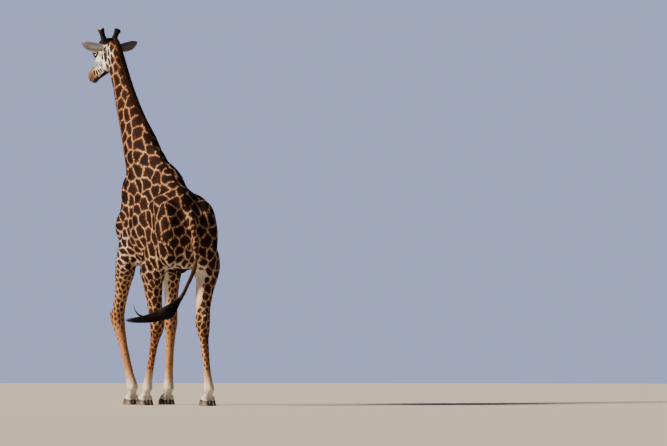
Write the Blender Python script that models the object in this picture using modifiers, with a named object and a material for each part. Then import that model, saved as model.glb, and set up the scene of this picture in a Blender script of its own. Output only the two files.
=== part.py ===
"""A life-size still giraffe, a Masai bull in mid-stride, as a museum shows one. Metres, +Z up.

The animal faces -Y and its left side is +X. The flesh is one smooth body: lofts along the bones and
swellings for the muscles, fused, simplified, and parted into named pieces by thin cuts. The hooves,
eyes, ears, ossicones, mane and tail tuft are pieces of their own, cut back to meet the flesh.
It is drawn with the root of the tail at y = 0 and a withers height of DRAWN_WITHERS, then brought to
its real size and stood with the middle of its bounding box over the origin.
"""

import math
from collections import namedtuple

import bmesh
import bpy
from mathutils import Matrix, Vector

# ---------------------------------------------------------------- driving sizes

WITHERS_HEIGHT = 3.06     # this bull's height over the shoulders
DRAWN_WITHERS = 3.29      # the withers height that all the figures below are drawn for
GAP = 0.0004              # clearance between neighbouring pieces

HOOF_HEIGHT = 0.120
HOOF_LENGTH = 0.265
HOOF_WIDTH = 0.100        # of one of the two claws
EYE_RADIUS = 0.030
OSSICONE_RADIUS = 0.034
EAR_LENGTH = 0.340
EAR_WIDTH = 0.122
EAR_THICKNESS = 0.012
EAR_LIFT = {"left": math.radians(11), "right": math.radians(19)}   # above level
MANE_HEIGHT = 0.075
TAIL_RADIUS = 0.034

HEAD_PITCH = math.radians(31)       # how far the face points below level
HEAD_TURN = math.radians(8)         # how far the face is turned to the animal's left
POLL = Vector((0.10, -2.47, 4.60))  # where the skull sits on the neck

# The body's joints, with the knee of each leg where this stride puts it.
JOINTS = {
    "fore_left": {
        "shoulder": Vector((0.275, -1.60, 2.28)),
        "elbow": Vector((0.325, -1.40, 1.82)),
        "knee": Vector((0.352, -1.655, 1.10)),
        "fetlock": Vector((0.268, -1.345, 0.235)),
        "hoof": Vector((0.265, -1.40, 0.0)),
    },
    "fore_right": {
        "shoulder": Vector((-0.220, -1.52, 2.26)),
        "elbow": Vector((-0.240, -1.27, 1.82)),
        "knee": Vector((-0.225, -1.255, 1.07)),
        "fetlock": Vector((-0.195, -1.265, 0.215)),
        "hoof": Vector((-0.190, -1.335, 0.0)),
    },
    "hind_left": {
        "hip": Vector((0.215, -0.30, 2.20)),
        "stifle": Vector((0.290, -0.70, 1.68)),
        "hock": Vector((0.232, -0.570, 1.01)),
        "fetlock": Vector((0.265, -0.84, 0.215)),
        "hoof": Vector((0.270, -0.915, 0.0)),
    },
    "hind_right": {
        "hip": Vector((-0.232, -0.26, 2.195)),
        "stifle": Vector((-0.335, -0.42, 1.70)),
        "hock": Vector((-0.200, -0.12, 1.02)),
        "fetlock": Vector((-0.225, 0.03, 0.21)),
        "hoof": Vector((-0.230, -0.045, 0.0)),
    },
}

# Heights at which the legs are parted, and the places where the neck is.
LEG_TOP = 1.60
NECK_CUTS = {
    "base": (Vector((0.045, -1.42, 3.18)), Vector((0, -0.62, 0.78))),
    "middle": (Vector((0.065, -2.05, 3.86)), Vector((0, -0.56, 0.83))),
    "top": (Vector((0.092, -2.375, 4.42)), Vector((0.04, -0.78, 0.62))),
}

# How finely each fused body is made, and what it is simplified to.
TORSO_GRID = 0.030
BODY_GRID = 0.015
BODY_TRIANGLES = 3950
HEAD_GRID = 0.009
HEAD_TRIANGLES = 1350

COAT_COLOUR = (0.42, 0.27, 0.15, 1)
DARK_COLOUR = (0.05, 0.035, 0.03, 1)
HOOF_COLOUR = (0.09, 0.07, 0.06, 1)


# ---------------------------------------------------------------- modelling helpers

# A cross-section of a loft: its centre, half its width, and how far it reaches above and below the
# centre. A pinch draws its upper half together, as the ribs close towards the spine.
Section = namedtuple("Section", "centre width above below pinch", defaults=(0.0,))


def blend(points, t):
    """Catmull-Rom value at t (0 to the last point's number) through numbers or vectors."""
    last = len(points) - 1
    i = min(int(t), last - 1)
    f = t - i
    p1, p2 = points[i], points[i + 1]
    p0, p3 = points[max(i - 1, 0)], points[min(i + 2, last)]
    return 0.5 * (2 * p1 + (p2 - p0) * f + (2 * p0 - 5 * p1 + 4 * p2 - p3) * f * f
                  + (3 * p1 - p0 - 3 * p2 + p3) * f * f * f)


def mesh_object(name, bm, matrix=None):
    if matrix is not None:
        bm.transform(matrix)
    bmesh.ops.recalc_face_normals(bm, faces=bm.faces)
    mesh = bpy.data.meshes.new(name)
    bm.to_mesh(mesh)
    bm.free()
    obj = bpy.data.objects.new(name, mesh)
    bpy.context.scene.collection.objects.link(obj)
    return obj


def loft(sections, around=24, steps=4, matrix=None, lateral=Vector((1, 0, 0))):
    """A closed tube, smooth through its sections, whose rings stand square to its path."""
    centres, *sizes = zip(*sections)
    last = len(sections) - 1
    bm = bmesh.new()
    rings = []
    for step in range(last * steps + 1):
        t = step / steps
        centre = blend(centres, t)
        ahead = blend(centres, min(t + 0.05, last)) - blend(centres, max(t - 0.05, 0))
        along = ahead.normalized()
        across = (lateral - along * along.dot(lateral)).normalized()
        up = along.cross(across)
        if up.dot(Vector((0, 1, 0.6))) < 0:
            up = -up
        width, above, below, pinch = (blend(size, t) for size in sizes)
        ring = []
        for k in range(around):
            angle = 2 * math.pi * k / around
            rise = math.sin(angle)
            reach = width * math.cos(angle) * (1 - pinch * max(rise, 0) ** 1.5)
            ring.append(bm.verts.new(centre + across * reach + up * rise * (above if rise > 0 else below)))
        rings.append(ring)
    for lower, upper in zip(rings, rings[1:]):
        for k in range(around):
            n = (k + 1) % around
            bm.faces.new((lower[k], lower[n], upper[n], upper[k]))
    bm.faces.new(rings[0])
    bm.faces.new(rings[-1])
    return mesh_object("loft", bm, matrix)


def swelling(centre, radii, tilt=0, matrix=None):
    """A muscle or bone under the skin: an ellipsoid, tilted about x in degrees."""
    bm = bmesh.new()
    bmesh.ops.create_uvsphere(bm, u_segments=20, v_segments=14, radius=1.0)
    place = (Matrix.Translation(centre) @ Matrix.Rotation(math.radians(tilt), 4, "X")
             @ Matrix.Diagonal((*radii, 1.0)))
    return mesh_object("swelling", bm, place if matrix is None else matrix @ place)


def with_modifier(obj, kind, **settings):
    """Apply one modifier to a mesh object."""
    modifier = obj.modifiers.new(kind.title(), kind)
    for key, value in settings.items():
        setattr(modifier, key, value)
    evaluated = obj.evaluated_get(bpy.context.evaluated_depsgraph_get())
    mesh = bpy.data.meshes.new_from_object(evaluated)
    obj.modifiers.clear()
    obj.data = mesh
    return obj


def joined(name, objects):
    """All the objects as one mesh object; the originals go."""
    bm = bmesh.new()
    for obj in objects:
        bm.from_mesh(obj.data)
        bpy.data.objects.remove(obj)
    return mesh_object(name, bm)


def fused(name, objects, grid, smoothing, triangles=None):
    """One smooth closed skin round all the objects, simplified to about so many triangles if asked."""
    body = joined(name, objects)
    with_modifier(body, "REMESH", mode="VOXEL", voxel_size=grid)
    keep_largest(body)
    with_modifier(body, "SMOOTH", factor=0.5, iterations=smoothing)
    if triangles:
        count = sum(len(face.vertices) - 2 for face in body.data.polygons)
        with_modifier(body, "DECIMATE", ratio=triangles / count)
    return body


def copy_of(name, obj):
    """A separate copy of a mesh object."""
    twin = bpy.data.objects.new(name, obj.data.copy())
    bpy.context.scene.collection.objects.link(twin)
    return twin


def keep_side(obj, point, normal):
    """Cut a closed body with a plane, keep the side that the normal points to, and cap it."""
    bm = bmesh.new()
    bm.from_mesh(obj.data)
    normal = normal.normalized()
    geometry = list(bm.verts) + list(bm.edges) + list(bm.faces)
    cut = bmesh.ops.bisect_plane(bm, geom=geometry, dist=1e-6, plane_co=point + normal * GAP / 2,
                                 plane_no=normal, clear_inner=True)
    rim = [item for item in cut["geom_cut"] if isinstance(item, bmesh.types.BMEdge)]
    bmesh.ops.edgeloop_fill(bm, edges=rim)
    bmesh.ops.triangulate(bm, faces=bm.faces)
    bmesh.ops.recalc_face_normals(bm, faces=bm.faces)
    bm.to_mesh(obj.data)
    bm.free()
    return obj


def loose_parts(obj):
    """The separate closed bodies of a mesh, each as its own bmesh."""
    bm = bmesh.new()
    bm.from_mesh(obj.data)
    left = set(bm.verts)
    parts = []
    while left:
        seed = next(iter(left))
        body = {seed}
        front = [seed]
        while front:
            vertex = front.pop()
            for edge in vertex.link_edges:
                other = edge.other_vert(vertex)
                if other not in body:
                    body.add(other)
                    front.append(other)
        left -= body
        parts.append(body)
    result = []
    for body in sorted(parts, key=len, reverse=True):
        part = bm.copy()
        part.verts.ensure_lookup_table()
        keep = {vertex.index for vertex in body}
        bmesh.ops.delete(part, geom=[v for v in part.verts if v.index not in keep], context="VERTS")
        result.append(part)
    bm.free()
    return result


def keep_largest(obj):
    """Keep the largest closed body of a mesh, without the sealed hollows or chips beside it."""
    largest, *rest = loose_parts(obj)
    for bm in rest:
        bm.free()
    largest.to_mesh(obj.data)
    largest.free()
    return obj


def trimmed(obj, neighbour, clearance=2 * GAP):
    """Cut a piece back to its neighbour's skin, with the clearance; the largest body left stays."""
    cutter = copy_of("cutter", neighbour)
    bm = bmesh.new()
    bm.from_mesh(cutter.data)
    for vertex in bm.verts:
        vertex.co += vertex.normal * clearance * vertex.calc_shell_factor()
    bm.to_mesh(cutter.data)
    bm.free()
    with_modifier(obj, "BOOLEAN", operation="DIFFERENCE", object=cutter)
    bpy.data.objects.remove(cutter)
    return keep_largest(obj)


def between(start, end, share):
    return start.lerp(end, share)


# ---------------------------------------------------------------- trunk and neck

def trunk_forms():
    """Ribs, belly, croup and breast, from the tail forward, with the back's steep slope."""
    body = loft([
        Section(Vector((0, 0.00, 2.20)), 0.13, 0.12, 0.14),
        Section(Vector((0, -0.10, 2.19)), 0.26, 0.32, 0.32, 0.25),
        Section(Vector((0, -0.31, 2.20)), 0.33, 0.53, 0.42, 0.20),
        Section(Vector((0.005, -0.63, 2.20)), 0.385, 0.73, 0.46, 0.36),
        Section(Vector((0.015, -0.90, 2.20)), 0.400, 0.92, 0.50, 0.60),
        Section(Vector((0.030, -1.15, 2.20)), 0.370, 1.06, 0.50, 0.62),
        Section(Vector((0.04, -1.40, 2.25)), 0.32, 0.98, 0.48, 0.55),
        Section(Vector((0.045, -1.60, 2.34)), 0.27, 0.70, 0.37, 0.40),
        Section(Vector((0.05, -1.74, 2.46)), 0.19, 0.40, 0.20, 0.20),
        Section(Vector((0.05, -1.80, 2.52)), 0.09, 0.18, 0.10),
    ], around=36)
    return [
        body,
        swelling(Vector((0.05, -1.65, 2.42)), (0.18, 0.18, 0.36)),          # breast
        swelling(Vector((0.05, -1.66, 2.80)), (0.17, 0.20, 0.46), tilt=10),          # root of the throat
        swelling(Vector((0.025, -1.10, 3.09)), (0.120, 0.34, 0.15), tilt=-38),       # withers
        swelling(Vector((0.0, -0.72, 2.85)), (0.17, 0.44, 0.13), tilt=-33),          # loins
        swelling(Vector((0, -0.33, 1.88)), (0.22, 0.25, 0.20)),                      # groin
    ]


def trunk_details():
    """What hangs below the belly."""
    return [
        swelling(Vector((0.005, -0.30, 1.75)), (0.060, 0.085, 0.095)),               # scrotum
        swelling(Vector((0, -0.74, 1.74)), (0.06, 0.16, 0.07), tilt=-16),            # sheath
    ]


def neck_forms():
    """The long neck, deep at its base and slim below the head."""
    return [loft([
        Section(Vector((0.04, -1.22, 2.72)), 0.24, 0.36, 0.50),
        Section(Vector((0.045, -1.50, 3.16)), 0.225, 0.35, 0.41, 0.25),
        Section(Vector((0.05, -1.80, 3.52)), 0.180, 0.27, 0.27, 0.30),
        Section(Vector((0.06, -2.06, 3.87)), 0.141, 0.205, 0.200, 0.30),
        Section(Vector((0.07, -2.25, 4.18)), 0.119, 0.17, 0.150, 0.25),
        Section(Vector((0.09, -2.37, 4.42)), 0.115, 0.145, 0.142, 0.15),
        Section(Vector((0.10, -2.47, 4.58)), 0.100, 0.13, 0.150),
        Section(Vector((0.105, -2.53, 4.66)), 0.070, 0.09, 0.10),
    ])]


# ---------------------------------------------------------------- head

def head_place():
    """The head's own axes: x to its left, y back along the face, z up, from the poll."""
    turn = Matrix.Rotation(HEAD_TURN, 4, "Z")
    pitch = Matrix.Rotation(HEAD_PITCH, 4, "X")
    return Matrix.Translation(POLL) @ turn @ pitch


def head_forms():
    place = head_place()

    def ring(ahead, height, width, above, below, pinch=0.0):
        return Section(Vector((0, -ahead, height)), width, above, below, pinch)

    forms = [
        loft([
            ring(-0.07, 0.00, 0.045, 0.05, 0.06),
            ring(0.00, 0.01, 0.090, 0.10, 0.13),
            ring(0.09, 0.02, 0.105, 0.125, 0.19),
            ring(0.17, 0.01, 0.105, 0.150, 0.235),
            ring(0.26, 0.01, 0.108, 0.165, 0.220, 0.15),
            ring(0.34, 0.00, 0.094, 0.145, 0.182, 0.20),
            ring(0.42, -0.01, 0.077, 0.112, 0.150, 0.15),
            ring(0.50, -0.015, 0.068, 0.097, 0.118, 0.10),
            ring(0.58, -0.015, 0.066, 0.092, 0.098),
            ring(0.64, -0.02, 0.063, 0.083, 0.078),
            ring(0.685, -0.02, 0.045, 0.056, 0.052),
        ], matrix=place),
        swelling(Vector((0, -0.205, 0.172)), (0.088, 0.100, 0.084), matrix=place),    # forehead knob
        swelling(Vector((0, -0.17, 0.13)), (0.075, 0.12, 0.072), matrix=place),       # forehead
        swelling(Vector((0, -0.09, 0.14)), (0.085, 0.11, 0.06), matrix=place),        # crown
        swelling(Vector((0, -0.645, -0.02)), (0.064, 0.048, 0.062), matrix=place),    # upper lip
        swelling(Vector((0, -0.605, -0.088)), (0.044, 0.052, 0.034), matrix=place),   # chin
    ]
    for side in (-1, 1):
        forms += [
            swelling(Vector((side * 0.080, -0.27, 0.105)), (0.042, 0.075, 0.048), matrix=place),  # brow
            swelling(Vector((side * 0.064, -0.17, -0.09)), (0.048, 0.11, 0.12), matrix=place),    # cheek
            swelling(Vector((side * 0.095, -0.06, 0.045)), (0.040, 0.050, 0.050), matrix=place),  # ear root
            swelling(Vector((side * 0.052, -0.07, 0.110)), (0.046, 0.07, 0.082), matrix=place),   # horn root
        ]
    return forms


def eye(side, head):
    bm = bmesh.new()
    bmesh.ops.create_uvsphere(bm, u_segments=12, v_segments=8, radius=EYE_RADIUS)
    place = head_place() @ Matrix.Translation((side * 0.094, -0.282, 0.078))
    ball = mesh_object("eye", bm, place)
    socket = copy_of("socket", ball)
    bm = bmesh.new()
    bm.from_mesh(socket.data)
    bmesh.ops.scale(bm, vec=Vector((1, 1, 1)) * (1 + 2 * GAP / EYE_RADIUS), verts=bm.verts,
                    space=Matrix.Translation(-(place.translation)))
    bm.to_mesh(socket.data)
    bm.free()
    with_modifier(head, "BOOLEAN", operation="DIFFERENCE", object=socket)
    bpy.data.objects.remove(socket)
    return ball


def ossicone(side, head):
    """A skin-covered horn that leans back and out, with a swollen tip."""
    root = Vector((side * 0.050, -0.072, 0.115))
    tip = Vector((side * 0.122, 0.038, 0.264))

    def ring(share, swell):
        radius = OSSICONE_RADIUS * swell
        return Section(between(root, tip, share), radius, radius, radius)

    horn = loft([ring(0, 1.35), ring(0.3, 1.12), ring(0.6, 0.95), ring(0.82, 1.0), ring(0.94, 1.22),
                 ring(1.03, 1.15), ring(1.07, 0.55)], around=12, steps=1, matrix=head_place())
    return trimmed(horn, head)


def ear(side, head):
    """A long cupped leaf of gristle, held out level with its hollow forward and down."""
    rows, columns = 9, 6
    bm = bmesh.new()
    grid = []
    for i in range(rows + 1):
        along = i / rows
        half = EAR_WIDTH / 2 * (0.42 + 0.58 * math.sin(math.pi * min(along * 0.95 + 0.05, 1)) ** 0.7)
        half *= 1 - 0.90 * (max(0, along - 0.70) / 0.30) ** 2.4
        line = []
        for j in range(columns + 1):
            across = 2 * j / columns - 1
            cup = 0.42 * half * (1 - across * across) * (1.5 - along)
            sweep = -0.02 * math.sin(math.pi * along)
            line.append(bm.verts.new(Vector((side * EAR_LENGTH * along, cup, half * across + sweep))))
        grid.append(line)
    for lower, upper in zip(grid, grid[1:]):
        for j in range(columns):
            bm.faces.new((lower[j], lower[j + 1], upper[j + 1], upper[j]))
    lift = EAR_LIFT["left" if side > 0 else "right"]
    place = (head_place() @ Matrix.Translation((side * 0.100, -0.06, 0.05))
             @ Matrix.Rotation(-side * lift, 4, "Y")
             @ Matrix.Rotation(math.radians(-30), 4, "X")
             @ Matrix.Rotation(side * math.radians(4), 4, "Z"))
    leaf = mesh_object("ear", bm, place)
    with_modifier(leaf, "SOLIDIFY", thickness=EAR_THICKNESS, offset=0.0, use_even_offset=False)
    return trimmed(leaf, head)


# ---------------------------------------------------------------- legs

def shoulder_forms(joints, side):
    """The muscles over the shoulder blade and upper arm, which melt into the trunk."""
    shoulder, elbow = joints["shoulder"], joints["elbow"]
    return [
        swelling(shoulder + Vector((-side * 0.060, -0.02, 0.44)), (0.09, 0.14, 0.22), tilt=-10),
        swelling(shoulder + Vector((-side * 0.040, 0.14, 0.22)), (0.120, 0.23, 0.52), tilt=-16),
        swelling(shoulder + Vector((-side * 0.010, -0.01, -0.02)), (0.115, 0.17, 0.24)),
        swelling(between(shoulder, elbow, 0.75) + Vector((-side * 0.005, 0.08, 0.07)), (0.115, 0.17, 0.26),
                 tilt=-20),
    ]


def foreleg_forms(joints, side):
    """The foreleg from inside the shoulder to the hoof: forearm, knee, cannon, fetlock and pastern."""
    shoulder, elbow, knee, fetlock, hoof = (joints[name] for name in
                                            ("shoulder", "elbow", "knee", "fetlock", "hoof"))
    coronet = hoof + Vector((0, 0.035, HOOF_HEIGHT - 0.03))
    limb = loft([
        Section(shoulder + Vector((-side * 0.04, 0.09, 0.0)), 0.10, 0.16, 0.14),
        Section(elbow + Vector((0, 0, 0.03)), 0.130, 0.165, 0.160),
        Section(between(elbow, knee, 0.35), 0.104, 0.125, 0.130),
        Section(between(elbow, knee, 0.70), 0.081, 0.095, 0.098),
        Section(between(elbow, knee, 0.92), 0.084, 0.092, 0.094),
        Section(between(knee, fetlock, 0.05), 0.087, 0.094, 0.094),
        Section(between(knee, fetlock, 0.20), 0.069, 0.078, 0.078),
        Section(between(knee, fetlock, 0.50), 0.055, 0.060, 0.060),
        Section(between(knee, fetlock, 0.82), 0.055, 0.062, 0.062),
        Section(fetlock, 0.072, 0.080, 0.070),
        Section(between(fetlock, coronet, 0.55), 0.058, 0.058, 0.058),
        Section(coronet, 0.088, 0.088, 0.096),
        Section(coronet - Vector((0, 0, 0.05)), 0.088, 0.088, 0.096),
    ], around=20)
    behind = Vector((0, 0.075, 0)) + (knee - fetlock).normalized() * 0.045
    return [
        limb,
        swelling(knee + Vector((0, -0.028, 0.03)), (0.092, 0.088, 0.102)),
        swelling(knee + behind, (0.030, 0.035, 0.055)),
        swelling(fetlock + Vector((0, 0.045, -0.01)), (0.056, 0.048, 0.055)),
    ]


def haunch_forms(joints, side):
    """The muscles of the croup, buttock and thigh, which melt into the trunk."""
    hip, stifle = joints["hip"], joints["stifle"]
    return [
        swelling(hip + Vector((side * 0.015, 0.08, -0.04)), (0.170, 0.21, 0.44), tilt=6),      # buttock
        swelling(hip + Vector((-side * 0.020, -0.09, 0.24)), (0.165, 0.30, 0.20), tilt=-34),   # croup
        swelling(between(hip, stifle, 0.45), (0.165, 0.25, 0.36), tilt=-12),                   # thigh
        swelling(between(hip, stifle, 0.85) + Vector((side * 0.02, 0.08, -0.02)), (0.155, 0.23, 0.30),
                 tilt=-16),
    ]


def hindleg_forms(joints):
    """The hind leg from inside the thigh to the hoof: gaskin, hock, cannon, fetlock and pastern."""
    hip, stifle, hock, fetlock, hoof = (joints[name] for name in
                                        ("hip", "stifle", "hock", "fetlock", "hoof"))
    coronet = hoof + Vector((0, 0.035, HOOF_HEIGHT - 0.03))
    limb = loft([
        Section(between(hip, stifle, 0.5) + Vector((0, 0.08, 0)), 0.145, 0.24, 0.24),
        Section(stifle + Vector((0, 0.13, -0.02)), 0.130, 0.22, 0.22),
        Section(between(stifle, hock, 0.38) + Vector((0, 0.045, 0)), 0.108, 0.150, 0.155),
        Section(between(stifle, hock, 0.72) + Vector((0, 0.01, 0)), 0.089, 0.105, 0.110),
        Section(hock + Vector((0, 0, 0.04)), 0.095, 0.102, 0.102),
        Section(between(hock, fetlock, 0.10), 0.082, 0.090, 0.090),
        Section(between(hock, fetlock, 0.26), 0.056, 0.064, 0.066),
        Section(between(hock, fetlock, 0.55), 0.047, 0.054, 0.056),
        Section(between(hock, fetlock, 0.84), 0.050, 0.058, 0.058),
        Section(fetlock, 0.070, 0.078, 0.068),
        Section(between(fetlock, coronet, 0.55), 0.057, 0.057, 0.057),
        Section(coronet, 0.086, 0.088, 0.096),
        Section(coronet - Vector((0, 0, 0.05)), 0.086, 0.088, 0.096),
    ], around=20)
    heel = hock + Vector((0, 0.095, 0.055)) + (stifle - hock).normalized() * 0.03
    return [
        limb,
        swelling(heel, (0.034, 0.042, 0.075), tilt=-12),
        swelling(fetlock + Vector((0, 0.045, -0.01)), (0.054, 0.047, 0.055)),
    ]


def hoof_claw(name, centre, side):
    """One of the two claws of a hoof, flat below, with its toe forward."""
    outline = 18
    bm = bmesh.new()
    rings = []
    walls = ((0.0, 1.0, 1.0, 0.0), (0.45, 0.86, 0.94, 0.10), (1.0, 0.62, 0.84, 0.24))
    for height, length, width, back in walls:
        ring = []
        for k in range(outline):
            angle = 2 * math.pi * k / outline
            toe = 1.0 + 0.16 * max(0, -math.sin(angle)) ** 3
            x = HOOF_WIDTH / 2 * width * math.cos(angle) * (1 - 0.20 * max(0, -math.sin(angle)))
            y = HOOF_LENGTH / 2 * (length * math.sin(angle) * toe + back)
            ring.append(bm.verts.new((x, y, HOOF_HEIGHT * height)))
        rings.append(ring)
    for lower, upper in zip(rings, rings[1:]):
        for k in range(outline):
            n = (k + 1) % outline
            bm.faces.new((lower[k], lower[n], upper[n], upper[k]))
    bm.faces.new(rings[0])
    bm.faces.new(rings[-1])
    offset = Vector((side * (HOOF_WIDTH / 2 + 0.0015), 0, 0))
    return mesh_object(name, bm, Matrix.Translation(centre + offset))


# ---------------------------------------------------------------- mane and tail

def mane(body, head):
    """The short stiff mane, from between the ossicones down the back of the neck to the withers."""
    def ring(x, y, z, thick, height, sink):
        return Section(Vector((x, y, z)), thick, height, sink)

    rise = MANE_HEIGHT
    ridge = loft([
        ring(0.035, -1.14, 3.240, 0.012, 0.018, 0.05),
        ring(0.04, -1.30, 3.410, 0.018, rise * 0.8, 0.06),
        ring(0.045, -1.50, 3.61, 0.022, rise * 0.9, 0.06),
        ring(0.055, -1.76, 3.89, 0.023, rise, 0.06),
        ring(0.07, -1.98, 4.16, 0.023, rise, 0.06),
        ring(0.085, -2.14, 4.42, 0.022, rise, 0.06),
        ring(0.095, -2.26, 4.62, 0.020, rise * 0.8, 0.06),
        ring(0.10, -2.35, 4.725, 0.016, rise * 0.45, 0.06),
        ring(0.10, -2.41, 4.750, 0.010, rise * 0.12, 0.05),
    ], around=8, steps=2)
    trimmed(ridge, body)
    return trimmed(ridge, head)


TAIL_PATH = [
    Vector((0.0, -0.06, 2.44)), Vector((0.0, 0.035, 2.33)), Vector((-0.005, 0.075, 2.15)),
    Vector((-0.018, 0.095, 1.92)), Vector((0.0, 0.105, 1.73)), Vector((0.070, 0.105, 1.56)),
    Vector((0.145, 0.095, 1.41)), Vector((0.195, 0.085, 1.32)),
]


def tail_forms():
    radii = [1.9, 1.6, 1.2, 1.0, 0.9, 0.82, 0.8, 0.9]
    return loft([Section(place, TAIL_RADIUS * r, TAIL_RADIUS * r, TAIL_RADIUS * r)
                 for place, r in zip(TAIL_PATH, radii)], around=8, steps=2)


def tail_tuft():
    """The long black switch, carried to the left by the stride."""
    sizes = [(0.198, 0.085, 1.312, 0.022), (0.215, 0.08, 1.258, 0.056), (0.27, 0.06, 1.195, 0.080),
             (0.38, 0.02, 1.140, 0.074), (0.50, -0.03, 1.105, 0.070), (0.63, -0.09, 1.080, 0.050),
             (0.76, -0.14, 1.070, 0.032), (0.85, -0.17, 1.08, 0.012)]
    return loft([Section(Vector((x, y, z)), r * 0.75, r, r) for x, y, z, r in sizes],
                around=9, steps=2, lateral=Vector((0, 1, 0)))


# ---------------------------------------------------------------- the whole animal

def material(name, colour, roughness):
    made = bpy.data.materials.new(name)
    made.use_nodes = True
    shader = made.node_tree.nodes["Principled BSDF"]
    shader.inputs["Base Color"].default_value = colour
    shader.inputs["Roughness"].default_value = roughness
    return made


def paint(obj, made):
    obj.data.materials.clear()
    obj.data.materials.append(made)


def name_piece(obj, name, made):
    obj.name = name
    obj.data.name = name
    paint(obj, made)
    PIECES.append(obj)


for startup in list(bpy.data.objects):
    bpy.data.objects.remove(startup)

COAT = material("coat", COAT_COLOUR, 0.85)
DARK = material("dark_hair", DARK_COLOUR, 0.8)
HORN = material("hoof_horn", HOOF_COLOUR, 0.5)
WET = material("eye", DARK_COLOUR, 0.1)
HANDS = {"left": 1, "right": -1}
PIECES = []

torso_forms = trunk_forms() + neck_forms()
leg_forms = []
for leg, joints in JOINTS.items():
    side = HANDS[leg.split("_")[1]]
    if "knee" in joints:
        torso_forms += shoulder_forms(joints, side)
        leg_forms += foreleg_forms(joints, side)
    else:
        torso_forms += haunch_forms(joints, side)
        leg_forms += hindleg_forms(joints)
torso = fused("torso", torso_forms, TORSO_GRID, 10)
body_forms = [torso] + leg_forms + trunk_details() + neck_forms() + head_forms()
body = fused("body", body_forms, BODY_GRID, 6, BODY_TRIANGLES)
skull = fused("skull", head_forms() + neck_forms(), HEAD_GRID, 8, HEAD_TRIANGLES)

for hand, side in HANDS.items():
    name_piece(ossicone(side, skull), f"ossicone_{hand}", DARK)
    name_piece(ear(side, skull), f"ear_{hand}", COAT)
name_piece(mane(body, skull), "mane", DARK)
for hand, side in HANDS.items():
    name_piece(eye(side, skull), f"eye_{hand}", WET)
name_piece(keep_side(copy_of("head", skull), *NECK_CUTS["top"]), "head", COAT)

# The neck in two lengths, then the trunk, then the legs, which fall apart below the belly.
level = (Vector((0, 0, LEG_TOP)), Vector((0, 0, 1)))
neck_upper = keep_side(copy_of("neck_upper", body), *NECK_CUTS["middle"])
name_piece(keep_side(neck_upper, NECK_CUTS["top"][0], -NECK_CUTS["top"][1]), "neck_upper", COAT)
neck_lower = keep_side(copy_of("neck_lower", body), *NECK_CUTS["base"])
name_piece(keep_side(neck_lower, NECK_CUTS["middle"][0], -NECK_CUTS["middle"][1]), "neck_lower", COAT)
trunk = keep_side(copy_of("trunk", body), *level)
trunk = keep_side(trunk, NECK_CUTS["base"][0], -NECK_CUTS["base"][1])
name_piece(keep_largest(trunk), "trunk", COAT)

all_legs = keep_side(copy_of("legs", body), level[0], -level[1])
legs = loose_parts(all_legs)
for leg, joints in JOINTS.items():
    bend = joints["knee"] if "knee" in joints else joints["hock"]
    fetlock = joints["fetlock"]
    middle = between(bend, fetlock, 0.5)
    nearest = min(legs, key=lambda bm: min((v.co - middle).length for v in bm.verts))
    limb = mesh_object(leg, nearest.copy())
    down = (fetlock - bend).normalized()
    below_bend = between(bend, fetlock, 0.16)
    above_fetlock = between(bend, fetlock, 0.88)
    upper = keep_side(copy_of("upper", limb), below_bend, -down)
    lower = keep_side(keep_side(copy_of("lower", limb), below_bend, down), above_fetlock, -down)
    foot = keep_side(keep_side(limb, above_fetlock, down), Vector((0, 0, HOOF_HEIGHT + GAP / 2)), level[1])
    fore_or_hind, hand = leg.split("_")
    stem = f"{fore_or_hind}leg_{hand}"
    name_piece(upper, f"{stem}_upper", COAT)
    name_piece(lower, f"{stem}_cannon", COAT)
    name_piece(foot, f"{stem}_pastern", COAT)
    for side, claw in ((1, "claw_left"), (-1, "claw_right")):
        name_piece(hoof_claw(claw, joints["hoof"], side), f"{stem}_{claw}", HORN)

name_piece(trimmed(tail_forms(), body), "tail", COAT)
name_piece(tail_tuft(), "tail_tuft", DARK)

for bm in legs:
    bm.free()
for source in (body, skull, all_legs):
    bpy.data.objects.remove(source)

# Real size, and the middle of the bounding box over the origin.
size = Matrix.Scale(WITHERS_HEIGHT / DRAWN_WITHERS, 4)
for piece in PIECES:
    piece.data.transform(size)
corners = [vertex.co for piece in PIECES for vertex in piece.data.vertices]
low = Vector(min(corner[axis] for corner in corners) for axis in range(3))
high = Vector(max(corner[axis] for corner in corners) for axis in range(3))
centring = Matrix.Translation(Vector((-(low.x + high.x) / 2, -(low.y + high.y) / 2, -low.z)))
collection = bpy.data.collections.new("giraffe")
bpy.context.scene.collection.children.link(collection)
for piece in PIECES:
    piece.data.transform(centring)
    piece.data.shade_smooth()
    piece.data.set_sharp_from_angle(angle=math.radians(40))
    bpy.context.scene.collection.objects.unlink(piece)
    collection.objects.link(piece)
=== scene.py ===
import math

import bmesh
import bpy
import numpy as np
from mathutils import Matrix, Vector
from mathutils.bvhtree import BVHTree
from mathutils.kdtree import KDTree


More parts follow.
